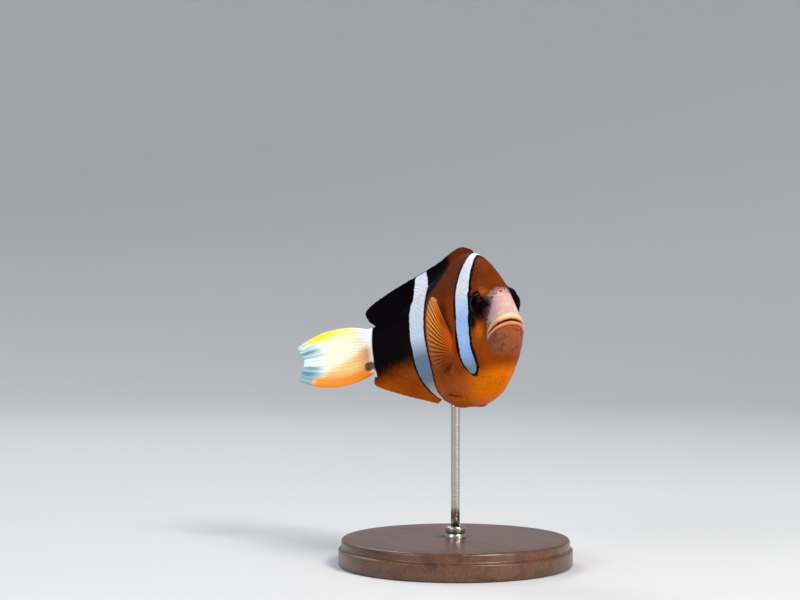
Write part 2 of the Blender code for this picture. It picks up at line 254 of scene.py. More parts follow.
SKIN_RINGS = 356
SKIN_COLUMNS = 272
SNOUT_RINGS = 10  # these share the small flat front of the snout
SNOUT_TIP = -1.3  # height of the point that they close on
SKIN_END = 93.0
SKIN_ROUNDED = 2.4  # the skin closes over this length, inside the root of the tail fin
RING_GAPS = [(0, 0.16), (8, 0.17), (14, 0.25), (28, 0.35), (40, 0.45), (93, 0.45)]
MOUTH_FRONT = -1.1
MOUTH_DROP = 3.2
MOUTH_CENTRE = 6.5  # the mouth goes round this s, from the front to its corners
MOUTH_CORNER = math.radians(75)
UPPER_LIP = 2.4
LOWER_LIP = 1.6
UPPER_LIP_OUT = 0.47
LOWER_LIP_OUT = 0.36
LIP_TAPER = 0.3
SLIT_DEPTH = 1.3
SLIT_WIDTH = 0.27
ORBIT = 1.95  # how far the rim of the eye socket stands out from the eye's centre
NOSTRIL_AT = (4.6, 4.5, 3.3)
JAW_FOLD = ((5.2, -5.9), (8.6, -11.8))  # from the corner of the mouth down: (s, height)
# Ovals in side view, (s, height), whose rear edges the gill cover and the cheek plate follow
GILL_MIDDLE = (16.0, -2.5)
GILL_REACH = (11.2, 13.7)
CHEEK_MIDDLE = (11.0, -3.2)
CHEEK_REACH = (8.4, 11.4)


def unit(vectors):
    vectors = np.asarray(vectors, float)
    return vectors / np.maximum(np.linalg.norm(vectors, axis=-1, keepdims=True), 1e-9)


def ring_places():
    """s of each ring of the skin: close together over the face, wider apart on the trunk."""
    s = np.linspace(0, 1, 4001) ** 2 * SKIN_END
    girth = (back(s) - belly(s) + 2 * half_width(s)) / 4
    gap = smooth(RING_GAPS)(s)
    along = np.cumsum(np.hypot(np.gradient(s), np.gradient(girth)) / gap)
    even = np.linspace(along[0], along[-1], SKIN_RINGS + 1 - SNOUT_RINGS)
    return np.concatenate([np.zeros(SNOUT_RINGS), np.interp(even, along, s)])


RING_S = ring_places()


def plain_half():
    """The plain left side: a row of points for each ring, evenly spaced from the back to the belly."""
    rows = ring_point(RING_S[:, None], np.linspace(TURN / 4, -TURN / 4, 721))
    # the rings close on a point in front, and round off inside the root of the tail fin
    size = np.ones(len(RING_S))
    size[: SNOUT_RINGS + 1] = np.linspace(0, 1, SNOUT_RINGS + 1)
    size *= np.sqrt(np.clip((SKIN_END + 0.2 - RING_S) / SKIN_ROUNDED, 0, 1))
    middle = np.array((0, 0, SNOUT_TIP)) * step(4, 0, RING_S)[:, None]
    middle[:, 0] = RING_S
    rows = middle[:, None] + (rows - middle[:, None]) * size[:, None, None]
    share = np.linspace(0, 1, SKIN_COLUMNS // 2 + 1)
    even = []
    for row in rows:
        length = np.concatenate([[0], np.cumsum(np.linalg.norm(np.diff(row, axis=0), axis=-1))])
        even.append(np.stack([np.interp(share * length[-1], length, axis) for axis in row.T], -1))
    return np.array(even)


def outward(half):
    """Unit directions out of a half skin. Across the back and belly they have no side part."""
    mirror = np.array((1, -1, 1))
    wide = np.concatenate([half[:, 1:2] * mirror, half, half[:, -2:-1] * mirror], axis=1)
    out = unit(np.cross(np.gradient(half, axis=0), wide[:, 2:] - wide[:, :-2]))
    out[:2] = (-1, 0, 0)
    for _ in range(3):
        wide = np.concatenate([out[:, 1:2] * mirror, out, out[:, -2:-1] * mirror], axis=1)
        out = unit(wide[:, :-2] + 2 * wide[:, 1:-1] + wide[:, 2:])
        out[1:-1] = unit(out[:-2] + 2 * out[1:-1] + out[2:])
    return out


def mouth_place(points):
    """How far round the mouth a point is, 0 in front and 1 at a corner, and its height over that line."""
    s, side, height = np.moveaxis(points, -1, 0)
    round_it = np.arctan2(np.abs(side), MOUTH_CENTRE - s) / MOUTH_CORNER
    line = MOUTH_FRONT - MOUTH_DROP * np.clip(round_it, 0, 1.3) ** 1.7
    return round_it, height - line


def lip_heights(round_it):
    """Heights of the upper and the lower lip, which grow slimmer towards the corners of the mouth."""
    return UPPER_LIP - LIP_TAPER * round_it, LOWER_LIP - LIP_TAPER * round_it


def lips(points):
    """How far the lips stand out, and the slit between them goes in, in millimetres."""
    round_it, over = mouth_place(points)
    upper, lower = lip_heights(round_it)
    upper_hump = UPPER_LIP_OUT * np.sqrt(np.clip(1 - (2 * over / upper - 1) ** 2, 0, 1)) * (over > 0)
    lower_hump = LOWER_LIP_OUT * np.sqrt(np.clip(1 - (2 * over / lower + 1) ** 2, 0, 1)) * (over < 0)
    hump = upper_hump + lower_hump
    creases = 0.22 * bump(over - upper - 0.25, 0.3) + 0.18 * bump(over + lower + 0.3, 0.35)
    wrinkles = 0.035 * np.sin(46 * round_it) * (hump > 0.2)
    slit = SLIT_DEPTH * step(1.08, 0.96, round_it) * bump(over, SLIT_WIDTH)
    near_mouth = step(8.5, 6.5, points[..., 0])
    return near_mouth * (step(1.22, 0.98, round_it) * (hump - creases + wrinkles) - slit)


def near_line(points, start, end):
    """Distance in side view from a straight fold, with how far along it a point is."""
    place = points[..., (0, 2)] - np.array(start)
    run = np.array(end) - np.array(start)
    along = np.clip(place @ run / (run @ run), 0, 1)
    return np.linalg.norm(place - along[..., None] * run, axis=-1), along


def edge_of(points, middle, reach):
    """Rough distance outside an oval, in side view, and whether it is behind the oval's middle."""
    off = (points[..., (0, 2)] - np.array(middle)) / np.array(reach)
    across = np.linalg.norm(off, axis=-1)
    return (across - 1) * np.mean(reach), step(-1, 2.5, points[..., 0] - middle[0])


def folds(points):
    """Relief of the face, gill cover, throat, flank and pectoral fin's lobe, in millimetres."""
    s, side, height = np.moveaxis(points, -1, 0)
    jaw, along = near_line(points, *JAW_FOLD)
    raised = 0.2 * bump(jaw - 1.2, 0.9) - 0.32 * bump(jaw, 0.5) * step(1, 0.6, along)
    pit = np.linalg.norm(points - np.array(NOSTRIL_AT), axis=-1)
    raised += 0.16 * bump(pit - 0.85, 0.3) - 0.8 * bump(pit, 0.4)
    cheek, behind = edge_of(points, CHEEK_MIDDLE, CHEEK_REACH)
    plate = 0.16 * step(-2.2, -0.2, cheek) * step(0.5, 0.1, cheek)
    raised += behind * (plate - 0.2 * bump(cheek - 0.5, 0.45))
    gill, behind = edge_of(points, GILL_MIDDLE, GILL_REACH)
    cover = 0.34 * step(-6, -0.3, gill) * step(0.22, 0.02, gill)
    opening = 0.42 * bump(gill - 0.5, 0.36) + 0.1 * step(0.2, 0.6, gill) * step(6, 2, gill)
    raised += behind * step(14, 10, height) * (cover - opening)
    lobe = np.exp(-((s - 29.8) / 3.0) ** 2 - ((height + 7.0) / 4.6) ** 2)
    throat = bump(side, 0.9) * step(4, 8, s) * step(27, 20, s) * (height < -8)
    muscle = bump(height - 1.5, 2.4) * step(30, 40, s)
    return raised + 0.95 * lobe - 0.25 * throat + 0.14 * muscle


def eye_place(points):
    """A point's depth along the left eye's look, from the eye's centre, and its distance from that line."""
    look = unit(EYE_LOOK)
    off = points - np.array(EYE_AT)
    depth = off @ look
    return depth, np.linalg.norm(off - depth[..., None] * look, axis=-1)


def socketed(points):
    """Raises the rim of the eye socket, with a brow over it, and sinks the skin behind the eye."""
    depth, off = eye_place(points)
    way = unit(points - np.array(EYE_AT))
    brow = 0.3 * bump(off - 4.9, 1.2) * step(0.15, 0.85, way[..., 2] - 0.35 * way[..., 0])
    rim = 0.9 * bump(off - 3.9, 0.95) * (ORBIT - depth) + 0.2 * bump(off - 3.8, 0.35)
    rim += brow - 0.10 * bump(off - 5.4, 0.5)
    sunk = step(3.3, 2.9, off) * (-0.9 - depth)
    move = rim * step(2.9, 3.3, off) + sunk
    return points + unit(EYE_LOOK) * (move * (depth > -4))[..., None]


def half_skin(plain):
    """The left side of the skin, just inside the solids, with its folds, lips and eye socket."""
    eased = np.where(np.arange(len(plain)) > 2, 1, 0.5)[:, None]
    raised = eased * (lips(plain) + folds(plain)) - COAT_DEPTH
    half = socketed(plain + outward(plain) * raised[..., None])
    half[:, (0, -1), 1] = 0
    half[0] = half[1].mean(axis=0) * (1, 0, 1)
    return half


PLAIN_HALF = plain_half()
HALF_SKIN = half_skin(PLAIN_HALF)
SKIN_OUT = outward(HALF_SKIN)


def on_skin(grid, ring, share, side):
    """Values of a half-skin grid at a ring and a share of the way from back to belly, on either side."""
    row = np.clip(ring, 0, SKIN_RINGS - 1e-6)
    column = np.clip(share, 0, 1) * (grid.shape[1] - 1)
    i, j = row.astype(int), column.astype(int)
    a, b = (row - i)[:, None], (column - j)[:, None]
    j2 = np.minimum(j + 1, grid.shape[1] - 1)
    ahead = (1 - b) * grid[i, j] + b * grid[i, j2]
    behind = (1 - b) * grid[i + 1, j] + b * grid[i + 1, j2]
    got = (1 - a) * ahead + a * behind
    got[:, 1] *= side
    return got


def sphere_places(mesh):
    """Ring, share of the way from back to belly, and side (1 left, -1 right) of each point of a unit ball."""
    points = read(mesh)
    ring = np.arccos(np.clip(points[:, 2], -1, 1)) / math.pi * SKIN_RINGS
    turn = (np.arctan2(points[:, 1], points[:, 0]) - math.pi / 2 + math.pi) % TURN - math.pi
    return np.rint(ring), np.abs(turn) / math.pi, np.where(turn < 0, 1.0, -1.0)


# ---------------------------------------------------------------- markings

# Edges of the white bars: (height, s) in millimetres
HEAD_BAR_FRONT = [(-16, 17.2), (-14.2, 15.9), (-12, 15.8), (-7.5, 17.3), (0, 17.9), (7, 18.2), (13, 19.2),
                  (18.3, 20.2), (21.5, 21.1), (25, 23.3)]
HEAD_BAR_REAR = [(-16, 17.9), (-13.9, 20.9), (-11, 23.3), (-6, 24.7), (0, 25.8), (7, 27.9), (13, 28.5),
                 (19, 27.4), (23, 26.3), (26, 25.3)]
MID_BAR_FRONT = [(-26, 47.2), (-22, 51.4), (-18.9, 53.2), (-14, 52.8), (-10.9, 52.6), (-3, 53.8),
                 (4.7, 55.5), (12.5, 56.4), (16.5, 57.0), (21, 59.0), (25, 59.8)]
MID_BAR_REAR = [(-26, 49.0), (-22, 54.0), (-19.3, 57.6), (-14.2, 62.0), (-9, 63.9), (-1.9, 64.7),
                (3.7, 65.4), (8.9, 66.6), (15.9, 66.8), (22, 65.9), (25, 64.6)]
# The rounded lower end of the head bar: (s, height) of its middle, and its radius
HEAD_BAR_END = (18.5, -13.8)
HEAD_BAR_ROUND = 2.4
# Front edge of the black over the back: (height, s)
SADDLE = [(13, 57.5), (14.8, 55.3), (16.6, 51.9), (19.3, 47.4), (22, 44.6), (24, 45.2), (29, 47.0)]
# Lower edge of the black behind the mid bar: (s, height)
BLACK_BOTTOM = [(58, -6.2), (70, -6.2), (80, -7.6), (88, -9.4)]
UNDER_EYE = ((15.4, 8.0), (14.9, 0.4))  # a dark streak down the cheek: (s, height)
ROUND_EYE = 5.2  # radius of the black round the eye, where it is plain
TAIL_WHITE = 86.9  # s where the black stalk gives way to the white ring
TAIL_RING = 9.4  # half the height of the white ring
TAIL_ROOT = 87.6  # s where the rays of the tail fin begin
TAIL_DEPTH = 15.5
TAIL_LENGTH = 28.5


def within(points, front, rear):
    """How far inside a bar a point is, in millimetres across the bar's edge."""
    s, height = points[..., 0], points[..., 2]
    front, rear = smooth(front), smooth(rear)
    ahead = (s - front(height)) / np.hypot(1, front(height + 0.5) - front(height - 0.5))
    behind = (rear(height) - s) / np.hypot(1, rear(height + 0.5) - rear(height - 0.5))
    return np.minimum(ahead, behind)


def tail_marks(mesh, s, u, v):
    """Notes the tail's colours. u runs from its upper to its lower edge, and v from its root out."""
    glow = 0.3 * bump(u - 0.26, 0.14) * bump(v - 0.27, 0.14)
    yellow = step(0.19, 0.08, u) * step(0.14, 0.36, v) * (0.6 + 0.4 * step(0.4, 0.65, v)) + glow
    teal = step(0.62, 0.90, v) * np.clip(bump(u - 0.29, 0.10) + step(0.56, 0.68, u), 0, 1)
    edge = step(0.22, 0.10, u) + step(0.78, 0.90, u)
    tips = step(0.55 + 0.22 * edge, 0.85 + 0.10 * edge, v)
    note(mesh, "tail_cool", np.stack([yellow, teal * step(0.0, 0.5, tips), tips], -1))
    # up to 1 it is the pale orange of the lower half, and past 1 the deeper peach of the root
    peach = step(-0.06, 0.16, u - 0.32 - 0.52 * v) + step(0.34, 0.0, v) * step(0.28, 0.52, u)
    orange = step(0.70, 0.97, u) * step(0.92, 0.74, v)
    stain = 1.5 * bump(u - 0.84, 0.13) * bump(v - 0.035, 0.085)
    note(mesh, "tail_warm", np.stack([peach, orange, stain], -1))
    ring_end = TAIL_WHITE + 0.9 + 4.6 * step(0.50, 0.02, u)
    note(mesh, "tail_place", np.stack([u, v, ring_end - s], -1))


def head_bar(points):
    """Millimetres inside the head bar. Past its rounded end and at the top, its border is narrower."""
    s, height = points[..., 0], points[..., 2]
    below = np.clip(HEAD_BAR_END[1] - height, 0, None)
    end = HEAD_BAR_ROUND - np.hypot(s - HEAD_BAR_END[0], 1.15 * below)
    end = np.where(end < 0, end * (1 + 0.7 * step(0, 2.0, below)), end)
    inside = within(points, HEAD_BAR_FRONT, HEAD_BAR_REAR)
    inside = np.where(below > 0, np.minimum(inside + 2 * below, end), inside)
    return np.where(inside < 0, inside * (1 + 0.8 * step(19, 23, height)), inside)


def painted_highlight_over_right_eye(points):
    """A painted highlight: a small orange spot over and ahead of the right eye, on the lit rim of its socket,
    on that side only.
    """
    s, side, height = np.moveaxis(points, -1, 0)
    return bump(np.hypot(s - 8.3, height - 9.0), 1.3) * step(0, -2, side)


def black_zone(points):
    """Millimetres inside the black over the back, behind the mid bar, or round and under the eye."""
    s, side, height = np.moveaxis(points, -1, 0)
    saddle = 0.7 * np.minimum.reduce([s - smooth(SADDLE)(height), 64 - s, height])
    rear = np.minimum(s - 58, (height - smooth(BLACK_BOTTOM)(s)) * 0.45)
    under_eye = 1.5 - near_line(points, *UNDER_EYE)[0]
    orbit = eye_place(np.stack([s, np.abs(side), height], -1))[1]
    backward, upward = unit(np.stack([s - EYE_AT[0], height - EYE_AT[2]], -1)).T
    # it reaches far back, and far forward on the left, which is painted shade on the far side of the head.
    # Over the eye it is narrow, most so on the right, where the painted highlight over the right eye takes
    # its place
    reach = ROUND_EYE + 0.9 * step(0, 0.9, backward) + step(0, -0.6, backward) * step(0, 3, side)
    reach -= 0.2 * step(-0.2, -0.9, upward) + np.where(side > 0, 0.1, 1.4) * step(0.1, 0.75, upward)
    return np.maximum.reduce([saddle, rear, under_eye, reach - orbit]) - 3 * painted_highlight_over_right_eye(points)


def warm_zone(points):
    """About 1 in the orange glow of the throat, and less on the belly, the cheek and the anal fin."""
    s, side, height = np.moveaxis(points, -1, 0)
    middle = 0.45 + 0.55 * step(7.5, 3.0, np.abs(side))
    throat = 0.98 * step(-12.5, -18.5, height) * step(40, 17, s) * middle
    cheek = 0.7 * bump(s - 10.8, 3.0) * bump(height + 2.9, 2.4)
    anal = 0.2 * step(70, 82, s) * step(-9, -13, height)
    # the spot over the right eye adds orange there as a painted highlight
    return throat + 0.14 * step(-12, -20, height) + cheek + anal + 0.5 * painted_highlight_over_right_eye(points)


def marked(mesh, points, on_tail=None):
    """Notes where a point lies against each marking, for the skin, the scales and the fins alike."""
    s, _, height = np.moveaxis(points, -1, 0)
    u, v = on_tail or (0.5 - height / TAIL_DEPTH, np.clip((s - TAIL_ROOT) / TAIL_LENGTH, 0, 1))
    tail_marks(mesh, s, u, v)
    mid = within(points, MID_BAR_FRONT, MID_BAR_REAR)
    ring = np.minimum(s - TAIL_WHITE, TAIL_RING - np.abs(height))
    note(mesh, "bars_mm", np.stack([head_bar(points), mid, ring], -1))
    round_it, over = mouth_place(points)
    pink = np.minimum(1 - np.hypot((s - 2.0) / 5.8, (height - 3.6) / 6.8), 0.5 * over)
    note(mesh, "zones", np.stack([black_zone(points), warm_zone(points), pink], -1))
    upper, lower = lip_heights(round_it)
    lip = np.minimum.reduce([upper - over, lower + over, 4 * (1.18 - round_it)])
    lip = np.where(s < 8, lip, -5)
    chin = 1 - np.hypot((s - 2.2) / 5.4, (height + 7.2) / 5.4)
    note(mesh, "face", np.stack([chin, lip, over], -1))


# ---------------------------------------------------------------- coat

SCALE_ROWS = 24  # from the back to the belly, as on the real fish
SCALE_SHAPE = 0.66  # gap between columns over the gap between rows
SCALE_LIFT = 0.075  # a scale's free rear edge over the skin
SCALE_SUNK = 0.10  # its front edge under the skin
FIRST_COLUMN = 8.0  # s of the first scales that are tried, and of the last
LAST_COLUMN = 91.5
COAT_END = 89.6  # the scales that are kept lie ahead of this s
BARE_ROUND_EYE = 5.9
MAP_LENGTH = 95.0  # millimetres of fish that the coat's map spans, along it and round it
MAP_GIRTH = 130.0
MAP_SCALE = 0.0015  # half a scale's width on the map


def scale_mesh():
    """One thin scale: x runs back along the fish, y round it, and z is 1 on its upper face."""
    work = bmesh.new()
    bmesh.ops.create_circle(work, cap_ends=True, segments=10, radius=1)
    bmesh.ops.inset_individual(work, faces=work.faces[:], thickness=0.34, depth=0.0)
    inner = [f for f in work.faces if len(f.verts) > 4]
    bmesh.ops.poke(work, faces=inner)
    doubled(work)
    flat = [v for v in work.verts if v.co.z < 0.5 and v.co.xy.length < 0.9]
    bmesh.ops.dissolve_verts(work, verts=flat)
    return as_mesh("one_scale", work)


def copied(mesh, count):
    """One mesh that holds the given one many times over, in order."""
    one = in_scene("one", mesh)
    array = one.modifiers.new("many", "ARRAY")
    array.count = count
    array.use_relative_offset = False
    made = bpy.data.meshes.new_from_object(one.evaluated_get(bpy.context.evaluated_depsgraph_get()))
    bpy.data.objects.remove(one)
    return made


def ring_at(s):
    """The ring of the skin at s, with parts of a ring."""
    return np.interp(s, RING_S[SNOUT_RINGS:], np.arange(SNOUT_RINGS, SKIN_RINGS + 1))


def scale_places():
    """Share from back to belly, row gap and s of each scale of one side, in staggered columns."""
    half_girth = np.linalg.norm(np.diff(PLAIN_HALF, axis=1), axis=-1).sum(axis=1)
    s, found, column = FIRST_COLUMN, [], 0
    while s < LAST_COLUMN:
        gap = np.interp(s, RING_S, half_girth) / SCALE_ROWS
        for row in range(SCALE_ROWS):
            found.append(((row + 0.25 + 0.5 * (column % 2)) / SCALE_ROWS, gap, s))
        s += SCALE_SHAPE * gap
        column += 1
    return np.array(found)


# Where the scales begin behind the face: (height, s)
SCALED_FROM = [(-22, 9.5), (-12, 12.0), (-4, 12.5), (2, 17.0), (8, 17.5), (14, 14.5), (20, 13.0), (26, 12.0)]


def past_face(points):
    """How far behind the start of the scales a point is."""
    return points[..., 0] - np.interp(points[..., 2], *np.transpose(SCALED_FROM))


def has_scales(points):
    """Where the fish is scaled: not on the snout, lips and chin, round the eye or along the gill opening."""
    s, _, height = np.moveaxis(points, -1, 0)
    gill, behind = edge_of(points, GILL_MIDDLE, GILL_REACH)
    cheek, rear = edge_of(points, CHEEK_MIDDLE, CHEEK_REACH)
    lobe = ((s - 29.6) / 1.9) ** 2 + ((height + 7.0) / 3.4) ** 2
    clear = (np.abs(gill - 0.3) > 0.75) | (behind < 0.5) | (height > 11)
    clear &= (np.abs(cheek - 0.4) > 0.8) | (rear < 0.5) | (height > 5)
    off_eye = eye_place(points)[1] > BARE_ROUND_EYE
    return (past_face(points) > 0) & (s < COAT_END) & off_eye & clear & (lobe > 1)


def coat(name, side, material):
    """The scales of one side: overlapping fans, each lying along the skin with its rear edge free."""
    places = scale_places()
    places = places[has_scales(on_skin(HALF_SKIN, ring_at(places[:, 2]), places[:, 0], 1))]
    one = scale_mesh()
    shape = read(one)
    mesh = copied(one, len(places))
    x, y, z = np.tile(shape, (len(places), 1)).T
    own = np.repeat(np.arange(len(places)), len(shape))
    share, gap, s = places[own].T
    half_girth = gap * SCALE_ROWS
    # a fan with a rounded rear edge, its front tucked under the scales ahead of it
    back_mm = (0.92 * x + 0.30) * gap * np.where(x < 0, 0.80, 0.92)
    round_mm = 0.63 * y * gap * (1 - 0.10 * x)
    rings = ring_at(s + back_mm)
    shares = np.clip(share + round_mm / half_girth, 0.0, 1.0)
    at = on_skin(HALF_SKIN, rings, shares, side)
    out = unit(on_skin(SKIN_OUT, rings, shares, side))
    # each scale lifts a little more or less than the next, and those by the face are small and flat
    wobble = np.sin(own * 12.9898) * 0.5 + np.sin(own * 4.1414) * 0.5
    small = np.clip(gap / 2.2, 0.45, 1) * (0.25 + 0.75 * step(0, 6, past_face(at)))
    rear = step(-0.9, 0.9, x)
    edge = SCALE_SUNK + SCALE_LIFT * small * (1 + 0.25 * wobble)
    top = edge * rear - SCALE_SUNK + 0.035 * small * (1 - x * x - y * y)
    lift = np.where(z > 0.5, top, top - 0.07 - 0.10 * (1 - rear))
    points = at + out * lift[:, None]
    note(mesh, "scale_place", np.stack([x, y, wobble], -1))
    # the map unrolls the coat from the back, with each scale spread out a little round its own place
    uv = np.stack([s / MAP_LENGTH, 0.5 + side * share * half_girth / MAP_GIRTH], -1)
    uv = uv + MAP_SCALE * np.stack([x, y], -1)
    corner = np.empty(len(mesh.loops), np.int32)
    mesh.loops.foreach_get("vertex_index", corner)
    mesh.uv_layers.new(name="OFBake").data.foreach_set("uv", uv[corner].astype(np.float32).ravel())
    settle(mesh, points)
    marked(mesh, points)
    piece(name, mesh, material)


# ---------------------------------------------------------------- fins


def path(points):
    """A smooth line through evenly spaced points, for shares 0 to 1."""
    shares = np.linspace(0, 1, len(points))
    axes = [smooth(list(zip(shares, axis))) for axis in np.array(points, float).T]
    return lambda u: np.stack([axis(u) for axis in axes], -1)


def between(start, end, share):
    share = np.asarray(share)[..., None]
    return start * (1 - share) + end * share


def rays(phase, v, fork_at):
    """Height of the rays, 0 to 1. There is one ray to each unit of phase, and past fork_at it is forked."""
    off = (phase % 1) - 0.5
    spread = 0.19 * step(fork_at, fork_at + 0.35, v)
    slim = 0.17 - 0.05 * step(fork_at, fork_at + 0.3, v)
    return np.maximum(bump(off - spread, slim), bump(off + spread, slim))


def half_thickness(v, ridge, reach, root, fleshy):
    """Half a fin's thickness: full where it is fleshy, thin at the margin, and ridged by its rays."""
    flesh = (root - 0.3) * bump(v * reach, fleshy)
    blade = (0.30 - 0.17 * v) * np.sqrt(np.clip((1.0 - v) / 0.04, 0.09, 1))
    return flesh + blade + 0.11 * ridge * step(0, 0.15, v) * (1 - 0.45 * v)


def fin(name, grid, centre, ridges, reach, root=1.2, fleshy=2.6, pleats=None):
    """A closed fin, from where its middle sheet and its ridges are at u along its base and v out from it.

    It is root thick at its base and fleshy over that many millimetres of its reach.
    """
    mesh = sheet_mesh(name, *grid)
    u, v, face = read(mesh).T
    u, v, face = np.clip(u, 0, 1), np.clip(v, 0, 1), np.where(face > 0.5, 1.0, -1.0)
    e = 0.004
    across = centre(u + e, v) - centre(u - e, v)
    along = centre(u, v + e) - centre(u, v - e)
    normal = unit(np.cross(across, along))
    ridge = ridges(u, v)
    shift = face * half_thickness(v, ridge, reach, root, fleshy)
    if pleats:
        shift = shift + pleats(u, v)
    points = centre(u, v) + normal * shift[:, None]
    note(mesh, "fin_place", np.stack([u, v, ridge], -1))
    settle(mesh, points)
    marked(mesh, points, (u, v) if name == "tail_fin" else None)
    return mesh


# Margins and roots of the fins: (s, side, height), and for the pelvic fins, which are folded against the
# belly, (s, degrees round the body, 0)
DORSAL_BASE = (26.4, 84.5)
DORSAL_MARGIN = path([(27.4, 0, 26.3), (36.0, 0, 28.7), (44, 0, 28.2), (52, 0, 26.3), (60, 0, 24.7),
                      (67, 0, 23.2), (74, 0, 21.4), (80.5, 0, 19.2), (86.8, 0, 16.4), (89.6, 0, 13.8),
                      (88.4, 0, 10.6)])
SPINY_SHARE = 0.56
SPINES, DORSAL_RAYS = 10, 16
ANAL_BASE = (56.5, 86.0)
ANAL_MARGIN = path([(60, 0, -22.0), (66, 0, -20.3), (72, 0, -18.6), (79, 0, -16.3), (85.2, 0, -13.9),
                    (88.3, 0, -11.9), (87.9, 0, -9.2)])
ANAL_RAYS = 15
TAIL_MARGIN = path([(116.6, 0, 4.2), (115.8, 0, 1.8), (114.6, 0, -1.0), (115.6, 0, -4.6), (116.9, 0, -8.0)])
TAIL_RAYS = 17
PECTORAL_ROOT = path([(28.9, 0, -3.6), (29.6, 0, -5.8), (30.2, 0, -8.0), (30.4, 0, -10.2)])
PECTORAL_MARGIN = path([(36.0, 11.0, 11.0), (39.6, 11.4, 12.4), (44.0, 11.3, 8.8), (46.2, 11.0, 3.2),
                        (46.8, 10.7, -2.8), (45.4, 10.5, -8.2), (41.8, 10.2, -12.2), (37.4, 9.9, -13.8)])
PECTORAL_RAYS = 19
PELVIC_ROOT = path([(30.6, -54, 0), (32.4, -64, 0), (33.6, -75, 0)])
PELVIC_MARGIN = path([(43.5, -48, 0), (46.6, -54, 0), (47.4, -63, 0), (45.0, -71, 0), (41.0, -76, 0)])
PELVIC_RAYS = 6


def dorsal_phase(u):
    """The spiny part's spines and the soft part's rays, counted along the fin."""
    return np.where(u < SPINY_SHARE, SPINES * u / SPINY_SHARE,
                    SPINES + DORSAL_RAYS * (u - SPINY_SHARE) / (1 - SPINY_SHARE))


def dorsal_ridges(u, v):
    return rays(dorsal_phase(u), np.where(u < SPINY_SHARE, 0, v), 0.5)


def even_ridges(count, fork_at):
    """The ridges of a fin with that many even rays."""
    return lambda u, v: rays(count * u, v, fork_at)


def scalloped(phase, v, depth, width=0.28, power=4):
    """v, a little less between the rays near the margin."""
    return v * (1 - depth * (1 - bump((phase % 1) - 0.5, width)) * v**power)


def dorsal_centre(u, v):
    s = DORSAL_BASE[0] + (DORSAL_BASE[1] - DORSAL_BASE[0]) * u
    root = np.stack([s, 0 * s, back(s) - 1.2], -1)
    depth = np.where(u < SPINY_SHARE, 0.018, 0.012)
    return between(root, DORSAL_MARGIN(u), scalloped(dorsal_phase(u), v, depth))


def anal_centre(u, v):
    s = ANAL_BASE[0] + (ANAL_BASE[1] - ANAL_BASE[0]) * u
    root = np.stack([s, 0 * s, belly(s) + 1.2], -1)
    return between(root, ANAL_MARGIN(u), scalloped(ANAL_RAYS * u, v, 0.018))


# Splits in the tail fin's margin: (u, depth, width)
TAIL_SPLITS = [(0.13, 1.0, 0.02), (0.30, 1.0, 0.018), (0.42, 1.4, 0.02), (0.66, 1.0, 0.02), (0.84, 0.8, 0.02)]


def tail_centre(u, v):
    """The tail fin bows out above and below, and its margin is split here and there between the rays."""
    root = np.stack([0 * u + TAIL_ROOT, 0 * u, 7.4 - 14.8 * u], -1)
    split = sum(depth * bump(u - at, width) for at, depth, width in TAIL_SPLITS)
    reach = scalloped(TAIL_RAYS * u, v, 0.018, 0.3, 6) - 0.075 * v * split * step(0.75, 1, v)
    bow = np.where(u < 0.5, 3.6, 3.7) * (1 - 2 * u) * 4 * v * (1 - v)
    return between(root, TAIL_MARGIN(u), reach) + np.stack([0 * u, 0 * u, bow], -1)


def tail_pleats(u, v):
    return (0.15 * np.sin(TURN * 8.5 * u) + 0.22 * np.sin(TURN * 3.3 * u + 0.8)) * step(0.2, 0.95, v)


def flank(s, height):
    """Half width of the plain body at a height."""
    middle = widest_height(s)
    up = height > middle
    reach = np.where(up, back(s) - middle, middle - belly(s))
    power = np.where(up, upper_roundness(s), lower_roundness(s))
    share = np.clip(np.abs(height - middle) / reach, 0, 1)
    return half_width(s) * (1 - share**power) ** (1 / power)


def pectoral_centre(side):
    """A pectoral fin, spread and held a little away from the flank."""
    def centre(u, v):
        root = PECTORAL_ROOT(u)
        root[..., 1] = flank(root[..., 0], root[..., 2]) - 0.1
        point = between(root, PECTORAL_MARGIN(u), scalloped(PECTORAL_RAYS * u, v, 0.022, 0.3, 5))
        point[..., 1] += 0.9 * np.sin(math.pi * np.clip(v, 0, 1)) * step(0, 0.5, v)
        return point * (1, side, 1)
    return centre


def pectoral_pleats(side):
    return lambda u, v: 0.20 * side * np.cos(TURN * (PECTORAL_RAYS * u - 0.5)) * step(0.1, 0.5, v)


def pelvic_centre(side):
    """A pelvic fin, folded back along the belly."""
    def centre(u, v):
        place = between(PELVIC_ROOT(u), PELVIC_MARGIN(u), v)
        s, angle = place[..., 0], np.radians(place[..., 1])
        along = ring_point(s + 0.1, angle) - ring_point(s - 0.1, angle)
        around = ring_point(s, angle + 0.01) - ring_point(s, angle - 0.01)
        off = np.asarray(-0.3 + 0.8 * step(0.0, 0.4, v))
        return (ring_point(s, angle) + unit(np.cross(around, along)) * off[..., None]) * (1, side, 1)
    return centre


